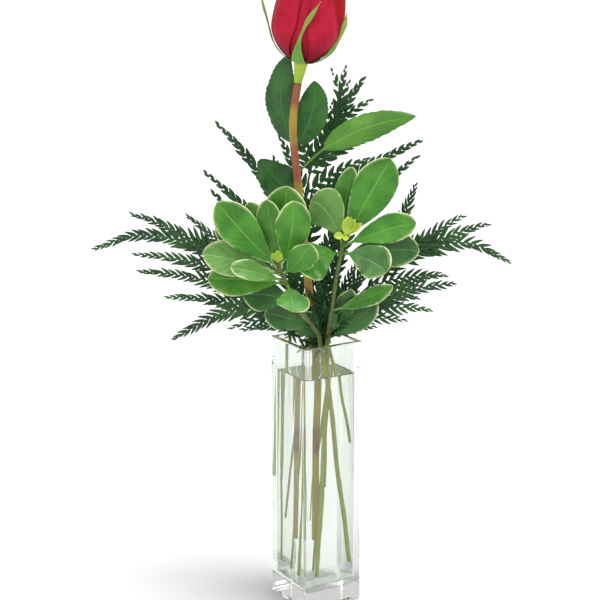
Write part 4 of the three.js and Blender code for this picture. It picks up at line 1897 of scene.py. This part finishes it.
    def midribs(self, nodes: NodeSet, sizes: Made, curve: Value) -> Value:
        """Add the midribs as thin tapering rods, and mark them apart from the leaflets.

        Args:
            nodes: The tree's nodes.
            sizes: The group's inputs.
            curve: The midribs' curves.

        Returns:
            Their mesh.
        """
        share = nodes.add("GeometryNodeSplineParameter")["Factor"]
        thick = sizes["Midrib Radius"] * (1.0 - share * 0.7)
        ring = nodes.add("GeometryNodeCurvePrimitiveCircle", None, {"Resolution": 6, "Radius": 1.0})["Curve"]
        swept = {"Curve": curve, "Profile Curve": ring, "Scale": thick, "Fill Caps": True}
        rods = nodes.add("GeometryNodeCurveToMesh", None, swept)["Mesh"]
        marked = {"Geometry": rods, "Name": "midrib", "Value": 1.0}
        settings = {"data_type": "FLOAT", "domain": "POINT"}
        return nodes.add("GeometryNodeStoreNamedAttribute", settings, marked)["Geometry"]

    def fill(self) -> None:
        """Add the nodes."""
        nodes = NodeSet(self.tree)
        sizes = nodes.add("NodeGroupInput")
        curve = nodes.add("GeometryNodeMeshToCurve", None, {"Mesh": sizes["Geometry"]})["Curve"]
        spaced = {"Curve": curve, "Length": sizes["Spacing"]}
        stations = self.resampled(nodes, spaced)
        leaflet = self.leaflet(nodes)
        rows = [self.row(nodes, sizes, side, leaflet, stations) for side in (1.0, -1.0)]
        parts = [*rows, self.midribs(nodes, sizes, curve)]
        joined_parts = nodes.add("GeometryNodeJoinGeometry")
        for part in parts:
            self.tree.links.new(part.socket, joined_parts.node.inputs[0])
        real = nodes.add("GeometryNodeRealizeInstances", None, {"Geometry": joined_parts[0]})["Geometry"]
        smooth_faces = nodes.add("GeometryNodeSetShadeSmooth", None, {"Geometry": real})["Geometry"]
        dressed = {"Geometry": smooth_faces, "Material": sizes["Skin"]}
        made = nodes.add("GeometryNodeSetMaterial", None, dressed)["Geometry"]
        nodes.add("NodeGroupOutput", None, {"Geometry": made})

    @staticmethod
    def resampled(nodes: NodeSet, spaced: dict) -> Value:
        """Add evenly spaced points along the midribs."""
        return nodes.add("GeometryNodeResampleCurve", {"mode": "LENGTH"}, spaced)["Curve"]

    def grow(
        self, name: str, midribs: Sequence[Array], facing: Array, seed: int, sizes: dict
    ) -> bpy.types.Mesh:
        """Grow the leaflets of one frond.

        Args:
            name: The mesh's name.
            midribs: The frond's midribs, each as points in the arrangement's frame.
            facing: The way that its leaflets face.
            seed: What their tilts and sizes are drawn from.
            sizes: Sizes that differ from the usual ones.

        Returns:
            The plain mesh.
        """
        points, edges = [], []
        for line in midribs:
            start = len(points)
            points.extend(to_row(line).tolist())
            edges.extend([start + i, start + i + 1] for i in range(len(line) - 1))
        mesh = bpy.data.meshes.new(f"{name}_midribs")
        mesh.from_pydata(points, edges, [])
        carrier = bpy.data.objects.new(f"{name}_carrier", mesh)
        bpy.context.scene.collection.objects.link(carrier)
        modifier = carrier.modifiers.new("leaflets", "NODES")
        modifier.node_group = self.tree
        for key, value in {**self.SIZES, **sizes}.items():
            modifier[self.keys[key]] = value
        modifier[self.keys["Facing"]] = tuple(unit(to_row(facing)))
        modifier[self.keys["Seed"]] = seed
        modifier[self.keys["Skin"]] = FROND.material()
        graph = bpy.context.evaluated_depsgraph_get()
        grown = bpy.data.meshes.new_from_object(carrier.evaluated_get(graph))
        carrier.modifiers.remove(modifier)
        bpy.data.objects.remove(carrier)
        bpy.data.meshes.remove(mesh)
        grown.name = f"{name}_form"
        return grown


@dataclass
class Frond:
    """A leatherleaf frond: its stem, and branches that leave its bend."""

    stem: Stem
    branches: tuple[tuple[float, Triple], ...]
    facing: Triple = (0.0, -1.0, 0.0)
    tip_share: float = 0.5
    small: tuple[tuple[float, Triple], ...] = ()
    sizes: tuple[tuple[str, float], ...] = ()  # leaflet sizes that differ from the usual ones

    def midribs(self) -> list[Array]:
        """Give the branches' midribs and the frond's own tip.

        Returns:
            Each midrib as points, one to a row.
        """
        lines = []
        for t, tip in (*self.branches, *self.small):
            start = self.stem.on_bend(t)
            end = np.array(tip, dtype=float) + [0.0, 0.0, self.stem.rim]
            middle = (start + end) / 2 + [0.0, 0.0, 0.1 * np.linalg.norm(end - start)]
            along = np.linspace(0.0, 1.0, 14)[:, None]
            lines.append((1 - along) ** 2 * start + 2 * along * (1 - along) * middle + along**2 * end)
        lines.append(self.stem.bend().samples(24, self.tip_share))
        return lines

    def build(self, tree: LeafletTree, seed: int) -> None:
        """Make the frond and its stem.

        Args:
            tree: The leaflets' node tree.
            seed: What its leaflets are drawn from.
        """
        name = self.stem.body.value
        leafy = tree.grow(name, self.midribs(), np.array(self.facing), seed, dict(self.sizes))
        piece(f"{name}_leaflets", leafy, self.stem.body, "fern", None, [name])
        rod = self.stem.rod(f"{name}_stem_form", 10, 0.5, 60.0, 0.05, tip=0.35)
        piece(f"{name}_stalk", rod, self.stem.body, "fern", RACHIS)


# ---------------------------------------------------------------- studio


@dataclass
class Studio:
    """The floor, the lights and the camera."""

    distance: float = 1.1
    height: float = 0.4997
    pitch: float = 13.68
    aside: float = 0.625
    lens: float = 92.7
    floor_side: float = 60.0
    floor_gap: float = 0.0002
    bounces: int = 32
    surround: float = 0.66
    sun_way: Triple = (-0.34, 0.10, -0.93)
    sun_spread: float = 32.0
    sun_strength: float = 2.8
    fill_place: Triple = (-0.9, -1.3, 0.9)
    fill_side: float = 0.9
    fill_power: float = 5.0  # in watts

    def floor(self) -> None:
        """Lay the floor under the vase."""
        half, low = self.floor_side / 2, -self.floor_gap
        corners = [(-half, -half, low), (half, -half, low), (half, half, low), (-half, half, low)]
        mesh = new_mesh("floor_form", corners, [(0, 1, 2, 3)], np.array([(0, 0), (1, 0), (1, 1), (0, 1)]))
        mesh.materials.append(FLOOR.material())
        made = bpy.data.objects.new("floor", mesh)
        bpy.context.scene.collection.objects.link(made)
        made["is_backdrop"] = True

    def world(self) -> None:
        """Surround the set with even white light."""
        made = bpy.data.worlds.new("studio_white")
        made.use_nodes = True
        nodes = NodeSet(made.node_tree)
        light = nodes.add("ShaderNodeBackground", None, {"Color": WHITE, "Strength": self.surround})
        nodes.add("ShaderNodeOutputWorld", None, {"Surface": light[0]})
        bpy.context.scene.world = made

    def softbox(self, name: str, place: Triple, size: float, power: float) -> None:
        """Hang a square softbox that faces the bouquet.

        Args:
            name: Its name.
            place: Its place in the arrangement's frame, in metres.
            size: Its side.
            power: Its power in watts.
        """
        light = bpy.data.lights.new(name, "AREA")
        light.shape = "SQUARE"
        light.size = size
        light.energy = power
        made = bpy.data.objects.new(name, light)
        at = Vector(to_row(np.array(place) / MM))
        made.matrix_world = Matrix.Translation(at) @ self.aimed(Vector((0.0, 0.0, 0.25)) - at)
        bpy.context.scene.collection.objects.link(made)

    @staticmethod
    def aimed(way: Vector) -> Matrix:
        """Give the turn that points a light or camera along a way."""
        return way.to_track_quat("-Z", "Y").to_matrix().to_4x4()

    def lights(self) -> None:
        """Hang the key sun and the fill softbox."""
        sun = bpy.data.lights.new("key_light", "SUN")
        sun.energy = self.sun_strength
        sun.angle = math.radians(self.sun_spread)
        made = bpy.data.objects.new("key_light", sun)
        made.matrix_world = self.aimed(Vector(to_row(np.array(self.sun_way) / MM)))
        bpy.context.scene.collection.objects.link(made)
        self.softbox("fill_light", self.fill_place, self.fill_side, self.fill_power)

    def camera(self) -> None:
        """Set the camera in front of the arrangement, a little to one side of the vase's axis."""
        data = bpy.data.cameras.new("camera")
        data.lens = self.lens
        data.sensor_width = 36.0
        data.clip_end = 30.0
        made = bpy.data.objects.new("camera", data)
        at = Vector(to_row(np.array([0.0, -self.distance, self.height]) / MM))
        down, left = math.radians(self.pitch), math.radians(self.aside)
        way = [-math.sin(left) * math.cos(down), math.cos(left) * math.cos(down), -math.sin(down)]
        made.matrix_world = Matrix.Translation(at) @ self.aimed(Vector(to_row(np.array(way))))
        bpy.context.scene.collection.objects.link(made)
        bpy.context.scene.camera = made

    def build(self) -> None:
        """Set up the studio."""
        self.floor()
        self.world()
        self.lights()
        self.camera()
        bpy.context.scene.view_settings.view_transform = "Standard"
        for kind in ("max", "transmission", "glossy", "transparent_max"):
            setattr(bpy.context.scene.cycles, f"{kind}_bounces", self.bounces)
        log.info("studio set up")


# ---------------------------------------------------------------- the arrangement

ROSE_LEAVES = {
    "rose_leaf_1": Leaf(0.66, (-20, 8, 206), 25, (-15, 3, 2), (-0.3, -1, 0), ROSE_LEAF),
    "rose_leaf_2": Leaf(0.66, (-2, 8, 188), 26, (11, 2, 0), (0.25, -1, 0), ROSE_LEAF),
    "rose_leaf_3": Leaf(0.58, (71, 7, 163), 22, (-14, 3, 14), (-0.1, -1, 0.3), ROSE_LEAF_LIGHT, 0.3),
    "rose_leaf_4": Leaf(0.52, (-41, 5, 132), 27, (-3, 2, -6), (-0.2, -1, 0.2), ROSE_LEAF),
}

LEFT_LEAVES = {
    "sprig_left_leaf_1": Leaf(0.86, (-69, -50, 110), 27, (-3, 5, 0), (0, -1, 0.3), SPRIG_LEAF),
    "sprig_left_leaf_2": Leaf(0.84, (-35, -43, 111), 20, (-2, 4, 0), (-0.3, -1, 0), SPRIG_LEAF),
    "sprig_left_leaf_3": Leaf(0.92, (-16, -48, 111), 26, (6, 1, -4), (0.3, -1, 0), SPRIG_LEAF),
    "sprig_left_leaf_4": Leaf(0.8, (-79, -54, 75), 25, (0, 2, 4), (0, -1, 0.4), SPRIG_LEAF_PAINTED_LIGHT),
    "sprig_left_leaf_5": Leaf(0.74, (-59, -66, 68), 15, (0, -4, 3), (0, -1, 0.6), SPRIG_LEAF_PAINTED_LIGHT),
    "sprig_left_leaf_6": Leaf(0.72, (-76, -50, 56), 24, (0, 3, 2), (0, -1, 0.2), SPRIG_LEAF),
    "sprig_left_leaf_7": Leaf(0.84, (-5, -54, 82), 22, (4, -1, -4), (0.4, -1, 0), SPRIG_LEAF),
    "sprig_left_leaf_8": Leaf(0.72, (-17, -64, 36), 24, (4, -4, 0), (0.3, -1, 0.6), SPRIG_LEAF),
    "sprig_left_leaf_9": Leaf(0.8, (-71, -36, 90), 16, (0, 2, 0), (0, -1, 0), SPRIG_LEAF_PAINTED_SHADE),
    "sprig_left_leaf_10": Leaf(0.6, (-52, -42, 43), 24, (0, 2, 3), (0, -1, 0.3), SPRIG_LEAF_PAINTED_SHADE),
    "sprig_left_leaf_11": Leaf(0.76, (-21, -34, 119), 32, (-2, 7, 0), (0, -1, 0), SPRIG_LEAF),
    "sprig_left_leaf_12": Leaf(0.13, (-13, -13, 19), 20, (0, 0, 3), (0, -1, 0.1), SPRIG_LEAF_PAINTED_SHADE),
    "sprig_left_leaf_13": Leaf(0.8, (-47, -40, 109), 20, (-3, 9, 0), (-0.1, -1, 0), SPRIG_LEAF),
    "sprig_left_leaf_14": Leaf(0.34, (-37, -28, 26), 20, (0, 2, 3), (0, -1, 0.2), SPRIG_LEAF_PAINTED_SHADE),
}

RIGHT_LEAVES = {
    "sprig_right_leaf_1": Leaf(0.93, (52, -24, 137), 31, (-2, 2, 0), (0.2, -1, 0), SPRIG_LEAF),
    "sprig_right_leaf_2": Leaf(0.88, (25, -24, 131), 18, (-4, 6, 0), (-0.4, -1, 0), SPRIG_LEAF),
    "sprig_right_leaf_3": Leaf(0.93, (-4, -36, 109), 32, (1, 1, 13), (-0.2, -1, 0), SPRIG_LEAF_PAINTED_LIGHT),
    "sprig_right_leaf_4": Leaf(0.92, (70, -34, 93), 21, (0, 0, 5), (0.1, -1, 0.4), SPRIG_LEAF),
    "sprig_right_leaf_5": Leaf(0.86, (73, -24, 71), 25, (0, 3, 4), (0.1, -1, 0.2), SPRIG_LEAF_PAINTED_SHADE),
    "sprig_right_leaf_6": Leaf(0.88, (49, -46, 60), 26, (5, -3, 5), (0, -1, 0.5), SPRIG_LEAF_SHADE),
    "sprig_right_leaf_7": Leaf(0.88, (-12, -42, 60), 29, (-3, -3, 5), (0, -1, 0.4), SPRIG_LEAF),
    "sprig_right_leaf_8": Leaf(0.16, (25, -19, 42), 15, (3, 1, 0), (0.2, -1, 0), SPRIG_LEAF_PAINTED_SHADE),
    "sprig_right_leaf_9": Leaf(0.5, (55, -17, 44), 13, (0, 0, -4), (0, -1, 0), SPRIG_LEAF),
    "sprig_right_leaf_10": Leaf(0.1, (44, -12, 31), 17, (2, 1, -5), (0, -1, 0.3), SPRIG_LEAF_PAINTED_SHADE),
}

FRONDS = (
    Frond(
        STEMS[Body.FERN_LEFT],
        (
            (0.5, (-132, 17, 88)),
            (0.42, (-131, 21, 58)),
            (0.34, (-127, 17, 46)),
            (0.24, (-108, 20, 26)),
            (0.36, (-92, 16, 86)),
        ),
        small=(
            (0.03, (-5, 6, -7)), (0.02, (-1, 2, -8)), (0.02, (-4, 3, 8)), (0.1, (-36, 12, 30)),
            (0.06, (-14, 10, 34)), (0.16, (-40, 14, 44)), (0.12, (-52, 18, 20)),
        ),
    ),
    Frond(
        STEMS[Body.FERN_LEFT_LOW],
        ((0.42, (-68, 1, 37)), (0.36, (-60, -2, 9)), (0.3, (-42, -3, 38))),
        small=(
            (0.03, (-9, -7, -6)), (0.03, (-9, 2, -5)), (0.02, (-5, -10, -2)), (0.1, (-6, -6, 36)),
            (0.16, (-26, -7, 32)), (0.2, (-20, -8, 4)), (0.06, (12, -6, 30)), (0.03, (-4, -9, 16)),
            (0.04, (-16, -8, 14)), (0.12, (-50, -4, 8)), (0.05, (-14, -24, 26)), (0.04, (-20, -22, 12)),
        ),
    ),
    Frond(
        STEMS[Body.FERN_BACK],
        (
            (0.24, (-79, 27, 116)),
            (0.3, (-70, 31, 151)),
            (0.18, (-74, 28, 101)),
            (0.5, (-31, 30, 182)),
            (0.26, (70, 27, 128)),
            (0.36, (72, 31, 140)),
            (0.52, (45, 27, 150)),
            (0.66, (36, 31, 170)),
            (0.74, (20, 30, 192)),
        ),
        small=(
            (0.02, (0, 9, -6)), (0.02, (-6, 5, -4)), (0.02, (-3, 0, -2)), (0.08, (20, 24, 62)),
            (0.12, (-30, 22, 66)), (0.05, (4, 22, 50)), (0.2, (36, 26, 96)), (0.3, (12, 26, 112)),
            (0.36, (24, 27, 118)), (0.42, (34, 28, 128)), (0.48, (22, 27, 138)), (0.24, (24, 25, 100)),
            (0.8, (12, 30, 190)), (0.62, (10, 28, 166)), (0.7, (22, 29, 182)), (0.3, (-30, 27, 126)),
            (0.4, (-26, 29, 142)), (0.26, (-40, 28, 112)),
        ),
        sizes=(("Spacing", 0.0064), ("Leaflet Length", 0.0155), ("Leaflet Width", 0.0046)),
    ),
    Frond(
        STEMS[Body.FERN_RIGHT],
        (
            (0.44, (71, 19, 108)),
            (0.4, (104, 16, 87)),
            (0.5, (122, 20, 81)),
            (0.34, (92, 16, 44)),
            (0.26, (72, 20, 26)),
        ),
        small=(
            (0.03, (5, 6, -6)), (0.02, (4, -2, -5)), (0.02, (-2, -5, -4)), (0.08, (44, 12, 18)),
            (0.1, (28, 14, 52)), (0.16, (46, 16, 66)), (0.06, (16, 14, 40)),
        ),
    ),
    Frond(
        STEMS[Body.FERN_RIGHT_LOW],
        ((0.56, (86, -6, 50)), (0.46, (80, -8, 24)), (0.32, (62, -7, 16)), (0.3, (50, -6, 42))),
        small=(
            (0.02, (-3, -12, -5)), (0.02, (7, -9, -6)), (0.02, (0, -9, -9)), (0.02, (-6, -12, 2)),
            (0.03, (8, -13, 4)), (0.08, (28, -12, 36)), (0.1, (40, -12, 12)), (0.18, (34, -12, 50)),
            (0.05, (14, -12, 42)), (0.06, (1, -14, 46)), (0.05, (-9, -14, 30)), (0.04, (5, -15, 24)),
            (0.03, (16, -13, 18)), (0.05, (6, -26, 32)), (0.05, (17, -26, 36)), (0.03, (-6, -24, 15)),
            (0.04, (24, -22, 20)), (0.04, (-2, -24, 26)),
        ),
    ),
)

LEFT_YOUNG = (((0, -2, 9), 4.5), ((3, -3, 7), 4.0), ((-4, -1, 7), 3.6), ((1, 2, 8), 4.0))
RIGHT_YOUNG = (
    ((2, -2, 14), 7.0),
    ((7, -2, 12), 6.5),
    ((12, -1, 9), 5.5),
    ((-8, -2, 0), 5.5),
    ((1, -4, -3), 4.5),
    ((4, 3, 13), 6.0),
)


def main() -> None:
    """Build the studio and every piece of the model, and work out both boxes."""
    logging.basicConfig(level=logging.INFO, format="%(name)s: %(message)s")
    Studio().build()
    Vase().build()
    Rose(STEMS[Body.ROSE]).build()
    Leaves(STEMS[Body.ROSE], ROSE_FORM, "rose_leaf", ROSE_LEAVES).build()
    Sprig(STEMS[Body.SPRIG_LEFT], "sprig_left", LEFT_YOUNG).build()
    Leaves(STEMS[Body.SPRIG_LEFT], SPRIG_FORM, "sprig_leaf", LEFT_LEAVES).build()
    Sprig(STEMS[Body.SPRIG_RIGHT], "sprig_right", RIGHT_YOUNG).build()
    Leaves(STEMS[Body.SPRIG_RIGHT], SPRIG_FORM, "sprig_leaf", RIGHT_LEAVES).build()
    tree = LeafletTree()
    for count, frond in enumerate(FRONDS):
        frond.build(tree, 11 + count)
    boxes = {"cad": CAD_BOX, "visual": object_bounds()}
    {name: [list(map(float, corner)) for corner in box] for name, box in boxes.items()}


if __name__ == "__main__":
    main()
